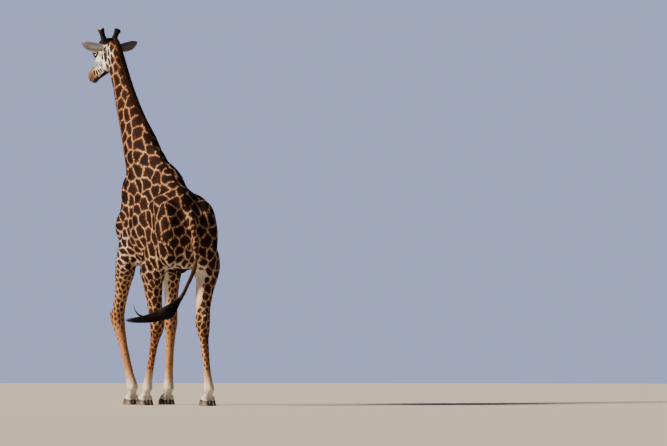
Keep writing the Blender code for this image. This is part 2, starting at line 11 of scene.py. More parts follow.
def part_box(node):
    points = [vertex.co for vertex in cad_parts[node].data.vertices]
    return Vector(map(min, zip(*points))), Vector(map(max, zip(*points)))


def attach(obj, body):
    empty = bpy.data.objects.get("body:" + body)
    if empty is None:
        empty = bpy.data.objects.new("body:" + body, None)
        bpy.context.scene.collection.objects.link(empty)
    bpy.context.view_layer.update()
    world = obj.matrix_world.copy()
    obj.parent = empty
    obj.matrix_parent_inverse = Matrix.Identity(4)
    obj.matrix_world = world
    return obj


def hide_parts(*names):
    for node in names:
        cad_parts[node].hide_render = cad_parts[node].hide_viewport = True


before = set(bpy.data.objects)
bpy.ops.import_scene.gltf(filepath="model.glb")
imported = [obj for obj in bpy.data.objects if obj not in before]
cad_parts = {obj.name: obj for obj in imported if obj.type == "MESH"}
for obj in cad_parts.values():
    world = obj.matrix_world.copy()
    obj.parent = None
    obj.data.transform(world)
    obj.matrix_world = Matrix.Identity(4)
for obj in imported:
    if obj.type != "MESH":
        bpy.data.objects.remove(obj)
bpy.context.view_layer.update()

# ------------------------------------------------------------------ where it stands and is seen from
# The model stands on a plain pale floor. A warm lamp stands to its left like a low sun, and a plain
# pale blue room fills the shade. It is seen from behind and a little from its left, from far off.

CAMERA_AZIMUTH = math.radians(158)
CAMERA_DISTANCE = 56.0
CAMERA_HEIGHT = 0.837
AIM_ACROSS = 1.651
AIM_HEIGHT = 2.128
LENS = 259.9
FLOOR_RADIUS = 25.0
SUN_AZIMUTH = math.radians(79)
SUN_HEIGHT = math.radians(30)
SUN_SPREAD = math.radians(9)
SUN_STRENGTH = 9.5


def linear(colour):
    """An sRGB hex colour as linear RGBA."""
    shares = [int(colour[i:i + 2], 16) / 255 for i in (0, 2, 4)]
    return tuple(s / 12.92 if s < 0.04045 else ((s + 0.055) / 1.055) ** 2.4 for s in shares) + (1.0,)


def add(tree, kind, settings=(), out=None, **sockets):
    """Adds a shader node and returns its named output, or its main one. Sockets are given by name or number
    (in_0), as a value or another output. A Mix mixes colours."""
    node = tree.nodes.new(kind)
    if kind == "ShaderNodeMix":
        node.data_type = "RGBA"
    for key, value in dict(settings).items():
        setattr(node, key, value)
    for name, value in sockets.items():
        socket = node.inputs[int(name[3:]) if name.startswith("in_") else name.replace("_", " ")]
        if isinstance(value, bpy.types.NodeSocket):
            tree.links.new(value, socket)
        else:
            socket.default_value = value
    return node.outputs[out or (2 if kind == "ShaderNodeMix" else 0)]


def finish_of(name, **settings):
    """A Principled material; returns the material, its node tree and its shader."""
    material = bpy.data.materials.new(name)
    material.use_nodes = True
    shader = material.node_tree.nodes["Principled BSDF"]
    for key, value in settings.items():
        shader.inputs[key.replace("_", " ")].default_value = value
    return material, material.node_tree, shader


def join(shader, colour, relief=None):
    """Gives a shader its colour, and its relief if it has one."""
    links = shader.id_data.links
    links.new(colour, shader.inputs["Base Color"])
    if relief:
        links.new(relief, shader.inputs["Normal"])


def placed(name, data):
    """A new object in the scene."""
    thing = bpy.data.objects.new(name, data)
    bpy.context.scene.collection.objects.link(thing)
    return thing


def new_piece(name, mesh, material):
    """A mesh as an object of the scene, in one material."""
    piece = placed(name, mesh)
    mesh.materials.clear()
    mesh.materials.append(material)
    return piece


def mesh_of(name, bm):
    """Turns a bmesh into a mesh, and frees it."""
    mesh = bpy.data.meshes.new(name)
    bm.to_mesh(mesh)
    bm.free()
    return mesh


tail_low, tail_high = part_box("tail")
tail_root = Vector((tail_low.x + 0.060, tail_high.y - 0.126, 0))
behind = Vector((math.sin(CAMERA_AZIMUTH), -math.cos(CAMERA_AZIMUTH), 0))
rightwards = Vector((math.cos(CAMERA_AZIMUTH), math.sin(CAMERA_AZIMUTH), 0))
camera = placed("camera", bpy.data.cameras.new("camera"))
camera.location = tail_root + behind * CAMERA_DISTANCE + Vector((0, 0, CAMERA_HEIGHT))
aim = tail_root + rightwards * AIM_ACROSS + Vector((0, 0, AIM_HEIGHT))
camera.rotation_euler = (aim - camera.location).to_track_quat("-Z", "Y").to_euler()
camera.data.lens = LENS
camera.data.clip_end = 400.0
bpy.context.scene.camera = camera

disc = bmesh.new()
bmesh.ops.create_circle(disc, cap_ends=True, segments=96, radius=FLOOR_RADIUS)

# Matt floor paint: even and pale, with faint clouds of tone over a metre wide.
paint, tree, shader = finish_of("matt_floor_paint", Roughness=0.9)
mottle = add(tree, "ShaderNodeTexNoise", Scale=0.8, Detail=4.0)
join(shader, add(tree, "ShaderNodeMix", Factor=mottle, in_6=linear("C9C4B8"), in_7=linear("BEB9AE")))
floor = new_piece("floor", mesh_of("floor", disc), paint)

room = bpy.data.worlds.new("room")
bpy.context.scene.world = room
room.use_nodes = True
tree = room.node_tree
seen = add(tree, "ShaderNodeLightPath", out="Is Camera Ray")
wall = add(tree, "ShaderNodeMix", Factor=seen, in_6=linear("525A6C"), in_7=linear("AAB4DF"))
tree.links.new(wall, tree.nodes["Background"].inputs["Color"])

sun = placed("lamp", bpy.data.lights.new("lamp", "SUN"))
towards = Vector((math.sin(SUN_AZIMUTH) * math.cos(SUN_HEIGHT), -math.cos(SUN_AZIMUTH) * math.cos(SUN_HEIGHT),
                  math.sin(SUN_HEIGHT)))
sun.rotation_euler = towards.to_track_quat("Z", "Y").to_euler()
sun.data.energy = SUN_STRENGTH
sun.data.angle = SUN_SPREAD
sun.data.color = linear("FFEBD2")[:3]

# ------------------------------------------------------------------ the skin
# One closed hide over head, neck, trunk, legs and tail, with no seam. It is fused from the packed
# bodies, finely on the head and more coarsely behind it, smoothed, and set in by the coat's depth.

HIDE_MESH = 0.0190
FACE_MESH = 0.0068
FUSE_SWELL = 0.001
BRIDGE_GAP = 0.012
DOCK_REACH = 0.13
HEAD_FROM = 3.7
EYE_REACH = 0.050
FOOT_TOP = 0.33
FOOT_REACH = 0.17
CORONET_BAND = 0.016
RIB_APART = 0.066
FACING_FROM, FACING_OVER = 0.2, 0.35
HEAD_PITCH = math.radians(31)
HORN_AT_TOE, HORN_AT_HEEL = 0.098, 0.056
UNDER_THE_HORN = 0.0075
LIMBS = ("foreleg_left", "foreleg_right", "hindleg_left", "hindleg_right")
LEGS = [f"{limb}_{bone}" for limb in LIMBS for bone in ("upper", "cannon", "pastern")]
CLAWS = [f"{limb}_claw_{half}" for limb in LIMBS for half in ("left", "right")]
FLESH = ["head", "ear_left", "ear_right", "neck_upper", "neck_lower", "trunk", "tail"] + LEGS


def fused(nodes, size):
    """The named bodies, each swollen a little so that the thin cuts close, as one bmesh of even faces."""
    joined = bmesh.new()
    for node in nodes:
        body = bmesh.new()
        body.from_mesh(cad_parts[node].data)
        bmesh.ops.remove_doubles(body, verts=body.verts, dist=0.00002)
        body.normal_update()
        for corner in body.verts:
            corner.co += corner.normal * FUSE_SWELL
        joined.from_mesh(mesh_of("body", body))
    block = new_piece("block", mesh_of("block", joined), paint)
    remesh = block.modifiers.new("fuse", "REMESH")
    remesh.mode = "VOXEL"
    remesh.voxel_size = size
    result = bmesh.new()
    result.from_mesh(block.evaluated_get(bpy.context.evaluated_depsgraph_get()).to_mesh())
    bpy.data.objects.remove(block)
    return largest(result)


def largest(bm):
    """Keeps the shell with the most corners."""
    seen, shells = set(), []
    for start in bm.verts:
        if start in seen:
            continue
        seen.add(start)
        shell, edge_of_shell = [start], [start]
        while edge_of_shell:
            corner = edge_of_shell.pop()
            for edge in corner.link_edges:
                other = edge.other_vert(corner)
                if other not in seen:
                    seen.add(other)
                    shell.append(other)
                    edge_of_shell.append(other)
        shells.append(shell)
    shells.sort(key=len)
    bmesh.ops.delete(bm, geom=[corner for shell in shells[:-1] for corner in shell], context="VERTS")
    return bm


def smooth(bm, corners, factor=0.5):
    bmesh.ops.smooth_vert(bm, verts=corners, factor=factor, use_axis_x=True, use_axis_y=True, use_axis_z=True)


def relax(bm, corners, passes):
    """Smooths corners and swells them back each time, so that thin parts keep their girth."""
    for _ in range(passes):
        smooth(bm, corners)
        smooth(bm, corners, -0.52)


def sliced(bm, place, way):
    """Cuts away what lies beyond a plane."""
    bmesh.ops.bisect_plane(bm, geom=bm.verts[:] + bm.edges[:] + bm.faces[:], dist=0.00001, plane_co=place,
                           plane_no=way, clear_outer=True)


def split(bm, chosen):
    """Halves every edge between chosen corners, and rounds the finer faces off."""
    inside = {corner for corner in bm.verts if chosen(corner.co)}
    bmesh.ops.subdivide_edges(bm, edges=[edge for edge in bm.edges if set(edge.verts) <= inside], cuts=1,
                              use_grid_fill=True)
    relax(bm, [corner for corner in bm.verts if chosen(corner.co)], 3)


def centre_of(node):
    low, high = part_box(node)
    return (low + high) / 2


def ramp(value, start, end):
    """A smooth step from 0 at start to 1 at end."""
    share = np.clip((value - start) / (end - start), 0, 1)
    return share * share * (3 - 2 * share)


def corners_of(mesh):
    """Places and normals of a mesh's corners."""
    places = np.empty(len(mesh.vertices) * 3)
    mesh.vertices.foreach_get("co", places)
    normals = np.empty(len(mesh.vertices) * 3)
    mesh.vertices.foreach_get("normal", normals)
    return places.reshape(-1, 3), normals.reshape(-1, 3)


def unit(vectors):
    return vectors / np.maximum(np.linalg.norm(vectors, axis=-1, keepdims=True), 1e-9)


eye_left, eye_right = centre_of("eye_left"), centre_of("eye_right")
brow = (eye_left + eye_right) / 2
head_left = (eye_left - eye_right).normalized()
level_back = Vector((-head_left.y, head_left.x, 0))
head_back = level_back * math.cos(HEAD_PITCH) + Vector((0, 0, math.sin(HEAD_PITCH)))
head_up = Vector((0, 0, math.cos(HEAD_PITCH))) - level_back * math.sin(HEAD_PITCH)
head_axes = np.array([head_left, head_back, head_up])


def on_head(place):
    """A place in the head's own axes, from between the eyes: to its left, back along the face, and up."""
    return Vector(head_axes @ np.array(place - brow))


def in_head(places):
    """The same for many places, as three rows."""
    return ((places - np.array(brow)) @ head_axes.T).T


def away_from(spot, places):
    """How far each place is from a spot."""
    return np.linalg.norm(places - np.array(spot), axis=1)


def mound(value, middle, width):
    """A soft hump: 1 where the value is at its middle, nearly 0 two widths away."""
    return np.exp(-((value - middle) / width) ** 2)


neck_low, neck_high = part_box("neck_upper")
neck_top = Vector(((neck_low.x + neck_high.x) / 2, neck_low.y + 0.24 * (neck_high.y - neck_low.y),
                   neck_low.z + 0.68 * (neck_high.z - neck_low.z)))
up_the_neck = Vector((0.03, -0.52, 0.855)).normalized()
hide = fused(["neck_upper", "neck_lower", "trunk", "tail"] + LEGS + CLAWS, HIDE_MESH)
face = fused(["head", "ear_left", "ear_right", "eye_left", "eye_right", "neck_upper"], FACE_MESH)
for shell, side in ((hide, 1), (face, -1)):
    sliced(shell, neck_top - up_the_neck * (side * BRIDGE_GAP / 2), up_the_neck * side)
relax(hide, hide.verts[:], 6)
relax(hide, [v for v in hide.verts if v.co.z > 1.45 and not v.is_boundary], 12)
relax(face, [v for v in face.verts if not v.is_boundary], 8)
hide.from_mesh(mesh_of("face", face))
rims = [edge for edge in hide.edges if edge.is_boundary]
bmesh.ops.bridge_loops(hide, edges=rims)
strip = [v for v in hide.verts if abs((v.co - neck_top).dot(up_the_neck)) < 0.04]
relax(hide, strip, 4)
dock = Vector((tail_root.x, tail_high.y - 0.115, tail_high.z - 0.03))
around_dock = [v for v in hide.verts if (v.co - dock).length < DOCK_REACH]
for _ in range(14):
    smooth(hide, around_dock)

# Finer faces at the feet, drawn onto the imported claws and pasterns, at the muzzle and round the eyes.
split(hide, lambda place: place.z < FOOT_TOP)
split(hide, lambda place: place.z > HEAD_FROM and (
    on_head(place).y < -0.27 or (on_head(place).y < -0.17 and abs(on_head(place).z + 0.125) < 0.03)))
for _ in range(2):
    split(hide, lambda place: min((place - eye_left).length, (place - eye_right).length) < EYE_REACH)
feet = bmesh.new()
for node in LEGS + CLAWS:
    if "pastern" in node or "claw" in node:
        feet.from_mesh(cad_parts[node].data)
foot_tree = BVHTree.FromBMesh(feet)
foot_boxes = []
for limb in LIMBS:
    low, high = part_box(limb + "_claw_left")
    other_low, other_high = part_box(limb + "_claw_right")
    foot_boxes.append((min(low.x, other_low.x), max(high.x, other_high.x), low.y, high.y))


def on_foot(x, y, box):
    """Which places stand over a foot."""
    left, right, toe, heel = box
    return (abs(y - (toe + heel) / 2) < FOOT_REACH) & (x > left - 0.03) & (x < right + 0.03)


def coronet_over(x, y):
    """Height of the slanting line where hair ends and horn begins, or -1 away from the feet."""
    line = np.full(len(x), -1.0)
    for box in foot_boxes:
        near = on_foot(x, y, box)
        line[near] = np.interp(y[near], box[2:], [HORN_AT_TOE, HORN_AT_HEEL])
    return line


def trodden(spots):
    """Narrows each foot from the ground up to its coronet and rounds its toe and heel."""
    for box in foot_boxes:
        x, y, z = spots.T
        left, right, toe, heel = box
        low = ramp(z, 0.20, 0.12)
        upward = ramp(z, 0.0, 0.085) * low
        at_heel, at_toe = ramp(y, heel - 0.08, heel + 0.01), ramp(y, toe + 0.09, toe)
        narrower = (0.12 * upward + (0.15 * at_heel ** 2 + 0.12 * at_toe) * low) * on_foot(x, y, box)
        spots[:, 0] = x + ((left + right) / 2 - x) * narrower
        spots[:, 1] = y - 0.024 * upward * at_heel * on_foot(x, y, box)
    return spots


split(hide, lambda place: place.z < 0.14 and abs(
    place.z - coronet_over(np.array([place.x]), np.array([place.y]))[0]) < CORONET_BAND)
low_corners = [v for v in hide.verts if v.co.z < FOOT_TOP - 0.06]
for corner in low_corners:
    corner.co = corner.co.lerp(foot_tree.find_nearest(corner.co)[0], 0.85)
smooth(hide, low_corners)
low_places = np.array([v.co[:] for v in low_corners])
over_horn = low_places[:, 2] - coronet_over(low_places[:, 0], low_places[:, 1])
above_claws = [v for v, over in zip(low_corners, over_horn) if over > 0.010 and v.co.z < 0.19]
for _ in range(10):
    smooth(hide, above_claws)
bmesh.ops.triangulate(hide, faces=[f for f in hide.faces if len(f.verts) > 4])
hide.normal_update()
skin = mesh_of("skin", hide)
skin.shade_smooth()

# Sculpting, by pushing corners out (+) or in (-) along the skin, in metres.
places, normals = corners_of(skin)
hx, hy, hz = in_head(places)
push = np.zeros(len(places))
body_side = np.sign(places[:, 0] - np.interp(places[:, 1], [-0.4, 0.4, 1.36], [-0.05, -0.15, -0.17]))
facing = normals[:, 0] * body_side


def ridge(y, z, start, end, width, amount):
    """A long form on the outer side between two places (y, z), raised or hollowed by an amount."""
    run = np.subtract(end, start)
    along = np.clip(((y - start[0]) * run[0] + (z - start[1]) * run[1]) / max(run @ run, 1e-9), 0, 1)
    away = np.hypot(y - start[0] - along * run[0], z - start[1] - along * run[1])
    return amount * mound(away, 0, width) * ramp(facing, FACING_FROM, FACING_FROM + FACING_OVER)


body_y, body_z = places[:, 1], places[:, 2]
for side, fore, hind in ((1, -0.12, 0.71), (-1, -0.05, 0.95)):
    here = (body_side == side) * ramp(body_z, 1.25, 1.50)
    for start, end, width, amount in (
            ((fore + 0.02, 2.12), (fore + 0.25, 2.86), 0.040, 0.009),       # spine of the shoulder blade
            ((fore + 0.15, 2.20), (fore + 0.36, 2.80), 0.050, -0.007),      # hollow behind it
            ((fore - 0.02, 2.12), (fore - 0.02, 2.12), 0.085, 0.012),       # point of the shoulder
            ((fore + 0.33, 1.75), (fore + 0.36, 2.35), 0.080, -0.008),      # behind the upper arm
            ((0.80, 2.42), (0.88, 2.52), 0.085, -0.007),                    # hollow of the flank
            ((0.92, 2.42), (0.94, 2.47), 0.060, 0.006),                     # hip bone
            ((hind - 0.02, 1.62), (0.84, 2.12), 0.050, -0.009),             # fold before the thigh
            ((1.24, 2.18), (hind + 0.32, 1.62), 0.034, -0.006),             # between the thigh muscles
            ((1.29, 2.30), (1.29, 2.30), 0.050, 0.009),                     # pin bone
            ((0.35, 1.86), (0.80, 1.96), 0.035, -0.005)):                   # lower edge of the ribs
        push += here * ridge(body_y, body_z, start, end, width, amount)
ribs = np.sin((body_y + 0.25 * (body_z - 2.2)) * math.tau / RIB_APART)
push += 0.0016 * ribs * ramp(body_y, 0.32, 0.45) * ramp(body_y, 0.86, 0.76) * ramp(body_z, 1.92, 2.02) \
    * ramp(body_z, 2.55, 2.40) * ramp(facing, 0.4, 0.8)
jugular_groove = ridge(body_y, body_z, (-0.80, 3.55), (-0.36, 2.66), 0.028, -0.008)
push += jugular_groove * ramp(body_z, 2.5, 2.7)
for node in LEGS:
    if "cannon" in node:
        low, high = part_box(node)
        inside = np.all((places > np.array(low) - 0.02) & (places < np.array(high) + 0.02), axis=1)
        tall = (places[:, 2] - low.z) / (high.z - low.z)
        levels = (0.1, 0.3, 0.5, 0.7, 0.9)
        middle = [places[inside & (abs(tall - level) < 0.04)][:, 1].mean() for level in levels]
        back = places[:, 1] - np.interp(tall, levels, middle)
        tendon_groove = inside * 0.0045 * mound(back, 0.020, 0.010) * ramp(abs(normals[:, 0]), 0.5, 0.85)
        push -= tendon_groove * ramp(tall, 0.05, 0.2) * ramp(tall, 0.98, 0.8)

# The head's bones, lips and nostrils.
on_face = ramp(body_z, 3.80, 3.86) * ramp(hy, 0.20, 0.10)
mouth = np.interp(hy, [-0.42, -0.33, -0.24, -0.19], [-0.134, -0.130, -0.118, -0.112])
lips = ramp(hy, -0.175, -0.215) * ramp(abs(normals @ np.array(head_up)), 0.95, 0.75)
push += on_face * lips * (0.0028 * mound(hz - mouth, 0.012, 0.010) + 0.0022 * mound(hz - mouth, -0.012, 0.009)
                          - 0.0065 * mound(hz - mouth, 0, 0.0038))
lip_groove = on_face * 0.003 * mound(hx, 0, 0.005)
push -= lip_groove * ramp(hy, -0.37, -0.40) * (hz > mouth)
for y, z, x, wide, tall, amount in (
        (-0.10, -0.050, 0.085, 0.100, 0.014, 0.0045),     # cheek bone, forward from the eye
        (0.065, -0.020, 0.110, 0.032, 0.024, -0.0070),    # hollow behind the eye
        (-0.17, -0.105, 0.060, 0.045, 0.030, -0.0060),    # hollow before the jaw muscle
        (0.085, -0.165, 0.070, 0.070, 0.060, 0.0040),     # jaw muscle
        (-0.24, -0.050, 0.050, 0.070, 0.024, -0.0040),    # beside the bridge of the nose
        (0.000, 0.046, 0.090, 0.040, 0.013, 0.0050)):     # brow over the eye
    push += on_face * amount * np.exp(-((hy - y) / wide) ** 2 - ((hz - z) / tall) ** 2
                                      - ((abs(hx) - x) / 0.04) ** 2)
vein = np.interp(hy, [-0.22, -0.14, -0.06, 0.0], [-0.070, -0.088, -0.110, -0.160])
push += on_face * 0.0014 * mound(hz, vein, 0.0045) * ramp(hy, -0.23, -0.20) * ramp(hy, 0.02, -0.02)


def nostril(hx, hy, hz):
    """0 in the middle of a nostril's slit, 1 at its edge and more beyond it."""
    long, short = 0.78 * (hy + 0.350) + 0.62 * (hz + 0.056), 0.78 * (hz + 0.056) - 0.62 * (hy + 0.350)
    return np.hypot(long / 0.023, (short - 9.0 * long * long) / 0.0075) + 9 * ramp(abs(hx), 0.030, 0.020)


opening = nostril(hx, hy, hz)
push += on_face * (-0.014 * ramp(opening, 1.0, 0.3) + 0.0040 * mound(opening, 1.5, 0.45))

# The feet: below its slanting coronet each foot is drawn in, so that it lies inside the horn.
coronet = np.where(body_z < 0.2, coronet_over(places[:, 0], places[:, 1]), -1.0)
under_horn = ramp(places[:, 2], coronet + 0.002, coronet - 0.008) * (coronet > 0)
push -= UNDER_THE_HORN * under_horn
depth = np.interp(body_z, [0.2, 1.4, 2.0, 3.0, 3.9], [0.0012, 0.0025, 0.0042, 0.0042, 0.0015])
places += normals * (push - depth * (1 - under_horn))[:, None]
places[:, 2] = np.maximum(places[:, 2], 0.006)
places = trodden(places)

# The lids: round each eye the skin follows the ball, thick-edged, with a crease over the upper lid.
LID_LONG, LID_TALL, LOWER_LID = math.radians(70), math.radians(42), 0.72
LID_GAP, LID_THICK, UPPER_THICKER = 0.0016, 0.0022, 0.0016
lids = {}
for node, side in (("eye_left", 1), ("eye_right", -1)):
    low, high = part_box(node)
    ball_radius = (high.x - low.x) / 2
    straight_out = (head_left * side * 0.93 - head_back * 0.33 + head_up * 0.12).normalized()
    corner_way = head_back - head_up * 0.10
    corner_way = (corner_way - straight_out * corner_way.dot(straight_out)).normalized()
    upwards = straight_out.cross(corner_way) * side
    if upwards.dot(head_up) < 0:
        upwards = -upwards
    lids[node] = centre_of(node), ball_radius, straight_out, corner_way, upwards
    from_eye = places - np.array(centre_of(node))
    reach = np.linalg.norm(from_eye, axis=1)
    ways = from_eye / reach[:, None]
    ahead, up = ways @ np.array(straight_out), ways @ np.array(upwards)
    along = np.arctan2(ways @ np.array(corner_way), ahead)
    tall = np.arcsin(np.clip(up, -1, 1))
    height = np.where(tall > 0, LID_TALL, LID_TALL * LOWER_LID)
    lens = abs(tall) / height + (along / LID_LONG) ** 2 - 1
    rim_away = lens * height * ball_radius * 0.8
    over = ramp(tall, 0.0, 0.3)
    lid = ball_radius + LID_GAP + (LID_THICK + UPPER_THICKER * over) * ramp(rim_away, -0.0008, 0.0016) \
        - 0.0030 * over * mound(rim_away, 0.0105, 0.0022) \
        - 0.0014 * (1 - over) * mound(rim_away, 0.0080, 0.0020)
    target = np.where(rim_away < -0.0008, ball_radius - 0.004, lid)
    hold = ramp(rim_away, 0.021, 0.010) * (ahead > 0.05) * (reach < 0.065)
    settled = reach + (target - reach) * np.where(target > reach, hold, hold * ramp(reach, 0.062, 0.052))
    places = np.where((hold > 0)[:, None], np.array(centre_of(node)) + ways * settled[:, None], places)
skin.vertices.foreach_set("co", places.astype(np.float32).ravel())
skin.update()
places, normals = corners_of(skin)

# ------------------------------------------------------------------ where each part of the hide lies
# Every corner of the hide knows how much it belongs to head, ear, neck, trunk, tail and legs, from
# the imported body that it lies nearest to, blended along the skin.

PARTS = ("head", "ear", "neck", "trunk", "tail", "foreleg", "hindleg")
BLEND_PASSES = 10

body_corners, body_faces, face_part = [], [], []
for node in FLESH:
    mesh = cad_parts[node].data
    first = len(body_corners)
    body_corners += [corner.co.copy() for corner in mesh.vertices]
    body_faces += [[first + i for i in face.vertices] for face in mesh.polygons]
    face_part += [next(k for k, part in enumerate(PARTS) if node.startswith(part))] * len(mesh.polygons)
bodies = BVHTree.FromPolygons(body_corners, body_faces)
shares = np.zeros((len(places), len(PARTS)))
for i, place in enumerate(places):
    shares[i, face_part[bodies.find_nearest(place)[2]]] = 1
links = np.empty(len(skin.edges) * 2, dtype=int)
skin.edges.foreach_get("vertices", links)
ends = links.reshape(-1, 2)
links_of = np.bincount(links, minlength=len(places))[:, None]
for _ in range(BLEND_PASSES):
    pulled = np.zeros_like(shares)
    for k in range(len(PARTS)):
        pulled[:, k] = (np.bincount(ends[:, 0], shares[ends[:, 1], k], len(places))
                        + np.bincount(ends[:, 1], shares[ends[:, 0], k], len(places)))
    shares = 0.5 * shares + 0.5 * pulled / links_of

# ------------------------------------------------------------------ the markings and the lie of the coat
# A Masai giraffe's coat: dark leaf-edged patches with black hearts on a tan to cream ground, large on
# the trunk, long on the neck, small on the legs, fading at belly, groin and cannons, with streaks on a
# white cheek. Skin and coat read the same values, worked out from the place on the body alone.

PATCH_SEED = 11
MOST_HEARTS, TONES = 6000, 10000
HEARTS_APART = 0.74
RELAXINGS = 2
NEIGHBOURS = 8
WAVES, WAVE_RATE, WAVE_HEIGHT = 4, 26, 0.045
LARGE_PATCH = 0.14
SPOT_LEFT_OUT = 0.08
STRAND_SQUEEZE = 0.88
FORELEG_LEVELS, HINDLEG_LEVELS = [0.2, 0.5, 0.9, 1.2, 1.5], [0.2, 0.45, 0.8, 1.1, 1.4]
mane_low, mane_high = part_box("mane")


def mixed(shares, *values):
    """One number, colour or direction for each part, blended by how much a place belongs to it."""
    total = 0
    for share, value in zip(shares.T, values):
        value = np.asarray(linear(value)[:3] if isinstance(value, str) else value, dtype=float)
        total = total + (share[:, None] * value if value.shape[-1:] == (3,) else share * value)
    return total


def painted(base, *layers):
    """Lays colours over others in turn, each by its share."""
    for colour, share in layers:
        base = base + (np.array(linear(colour)[:3]) - base) * np.asarray(share).reshape(-1, 1)
    return base


def laid_flat(ways, normals):
    """Directions pressed flat onto a surface."""
    return unit(ways - normals * (ways * normals).sum(axis=1, keepdims=True))


def coat_at(places, normals, shares):
    """All that the coat needs at each place: patch size, stretch, lines, colours, lie, tuft length. What is
    mixed has one value for each of PARTS, in their order."""
    x, y, z = places.T
    off = x - np.interp(y, [mane_low.y, mane_high.y, tail_root.y],
                        [mane_high.x - 0.016, mane_low.x + 0.015, tail_root.x])
    outward = normals[:, 0] * np.sign(off)
    hx, hy, hz = in_head(places)
    fy, fz = (normals @ head_axes.T).T[1:]
    head, ear, neck, trunk, tail, fore, hind = shares.T
    body = trunk + fore + hind
    front = ramp(y, 0.36, 0.08)
    chest = trunk * front
    white_arm = (chest + fore) * ramp(z, 2.10, 1.98) * ramp(z, 1.58, 1.70)
    inner = ramp(outward, -0.55, -0.96) * ramp(z, 1.95, 1.80) * body
    belly = trunk * ramp(normals[:, 2], -0.35, -0.8)
    nape_side = ramp(hy, 0.07, 0.14) * ramp(abs(hx), 0.095, 0.060)

    # How large the patches are, how long for their width, and how wide the pale lines between them.
    size = mixed(shares, 0.052 + 0.030 * nape_side, 0.07,
                 np.interp(z, [2.7, 3.2, 3.7, 4.1], [0.135, 0.150, 0.142, 0.100]),
                 np.interp(z, [1.3, 1.6, 1.9, 2.2, 2.8], [0.087, 0.104, 0.127, 0.146, 0.137]) * (1 - front)
                 + np.interp(z, [1.5, 1.8, 2.1, 2.4], [0.060, 0.072, 0.102, 0.122]) * front,
                 0.065, np.interp(z, FORELEG_LEVELS, [0.036, 0.044, 0.052, 0.057, 0.062]),
                 np.interp(z, HINDLEG_LEVELS, [0.036, 0.044, 0.055, 0.070, 0.085]))
    flank = ramp(abs(normals[:, 0]), 0.35, 0.95) * ramp(z, 1.45, 1.9)
    stretch = mixed(shares, 2.1, 2.0, 1.3, 1.2 + 0.8 * flank, 1.2, 1.25, 1.3)
    line = mixed(shares, 0.0056, 0.30, 0.0076, 0.0061, 0.008, 0.0074, 0.0062)
    line += (tail * ramp(z, 1.70, 1.55) * 0.05 + chest * 0.001 + belly * 0.012
             + head * ramp(hy, -0.20, -0.29) * 0.05)
    line += fore * ramp(z, 1.10, 0.80) * 0.010 + (fore + hind) * ramp(z, 0.42, 0.30) * 0.03
    line += (hind * ramp(z, 0.75, 0.45) * 0.003
             + ramp(outward, -0.75, -1.0) * inner * ramp(z, 1.05, 1.35) * 0.09)
    sparse = head * (0.06 + 0.06 * ramp(hy, -0.10, 0.02) * ramp(hy, 0.17, 0.10) * ramp(hz, -0.14, -0.10)
                     * ramp(hz, 0.04, 0.0)) * (1 - nape_side)

    ground = painted(
        mixed(shares, "BC9168", "FBF4EC", "BE8E6A", "CBA27A", "B98E6C", "C49A70", "C79D74"),
        ("F0E4D2", 0.75 * white_arm),
        ("DCC3A2", 0.5 * trunk * (1 - front) * ramp(z, 2.0, 1.5)),  # low flank
        ("9E7048", fore * ramp(z, 1.20, 1.00) * ramp(z, 0.30, 0.5) * 0.85),  # fore cannon
        ("EFE6D8", np.clip(0.85 * inner + 0.5 * belly, 0, 1) * ramp(z, 1.10, 1.40)),  # inner thigh
        ("D2C8BA", (fore + hind) * ramp(z, 0.36, 0.22)),  # fetlocks
        ("3A261A", tail * ramp(z, 1.90, 1.55)),
        ("9A6844", 0.9 * (head + neck) * nape_side * ramp(z, 3.85, 3.95)),
        ("94623C", 0.8 * hind * ramp(z, 1.0, 0.8) * ramp(z, 0.30, 0.45) * (1 - inner)),  # hind cannon
        # painted shade: the back of the right ear, turned from the lamp, darker and greyer than the left
        ("4E4039", 0.85 * ear * ramp(hx, 0.0, -0.05) * ramp(fy, -0.1, 0.3) * ramp(fz, 0.75, 0.35)),
        ("5A4A42", 0.6 * ear * ramp(fz, -0.45, -0.85)),  # under the ear
        ("F8F3EC", head * ramp(hy, -0.20, -0.10) * ramp(hz, 0.035, -0.015) * (1 - nape_side)),  # cheek
        ("6A4E3C", head * ramp(hy, -0.17, -0.27) * 0.92),  # muzzle
        ("F0E2D4", neck * ramp(z, 3.95, 4.08) * ramp(fy, 0.5, 0.1) * 0.6 * (1 - nape_side)))  # throat
    patch_rim = painted(
        mixed(shares, "2C1C15", "B9A088", "4E2A16", "46271A", "3A2316", "4A2B1C", "46291A"),
        ("4A2C1C", head * np.maximum(ramp(hz, 0.0, 0.04), nape_side) * 0.8),
        ("5C3520", hind * ramp(z, 1.0, 0.7) * 0.8))
    pouch = away_from((tail_root.x + 0.005, tail_root.y - 0.28, 1.60), places)
    # A dark line along the crest of the neck and the back: partly the dark hair beside the mane, partly
    # painted shade.
    nape = ramp(abs(off), 0.024, 0.010) * ramp(0.5 * normals[:, 1] + normals[:, 2], 0.2, 0.45)
    dark = np.maximum.reduce([
        head * ramp(hy, 0.09, 0.15) * ramp(hz, -0.030, 0.005) * ramp(abs(hx), 0.120, 0.090),  # cap
        # under the jaw: partly dark markings, partly painted shade on the skin that faces down
        head * ramp(fz, -0.50, -0.90) * ramp(hy, -0.32, -0.24) * ramp(hy, 0.10, 0.02) * 0.8,  # under the jaw
        head * (ramp(hy, -0.350, -0.405) * 0.62
                + ramp(hz, -0.135, -0.170) * 0.6 * ramp(hy, -0.20, -0.30)),  # lips
        *(ramp(away_from(eye, places), 0.044, 0.030) * 0.85 for eye in (eye_left, eye_right)),
        # nostrils: dark skin round each, and painted shade in its hollow slit
        head * ramp(nostril(hx, hy, hz), 1.6, 0.9),
        ramp(pouch, 0.13, 0.09) * ramp(z, 1.64, 1.60) * (trunk + hind),
        # crest of neck and back: partly dark hair, partly painted shade
        nape * (neck + trunk * ramp(z, 1.9, 2.3) * 0.85),
        ear * ramp(abs(hx), 0.150, 0.105) * ramp(hz, -0.01, -0.04) * 0.8])

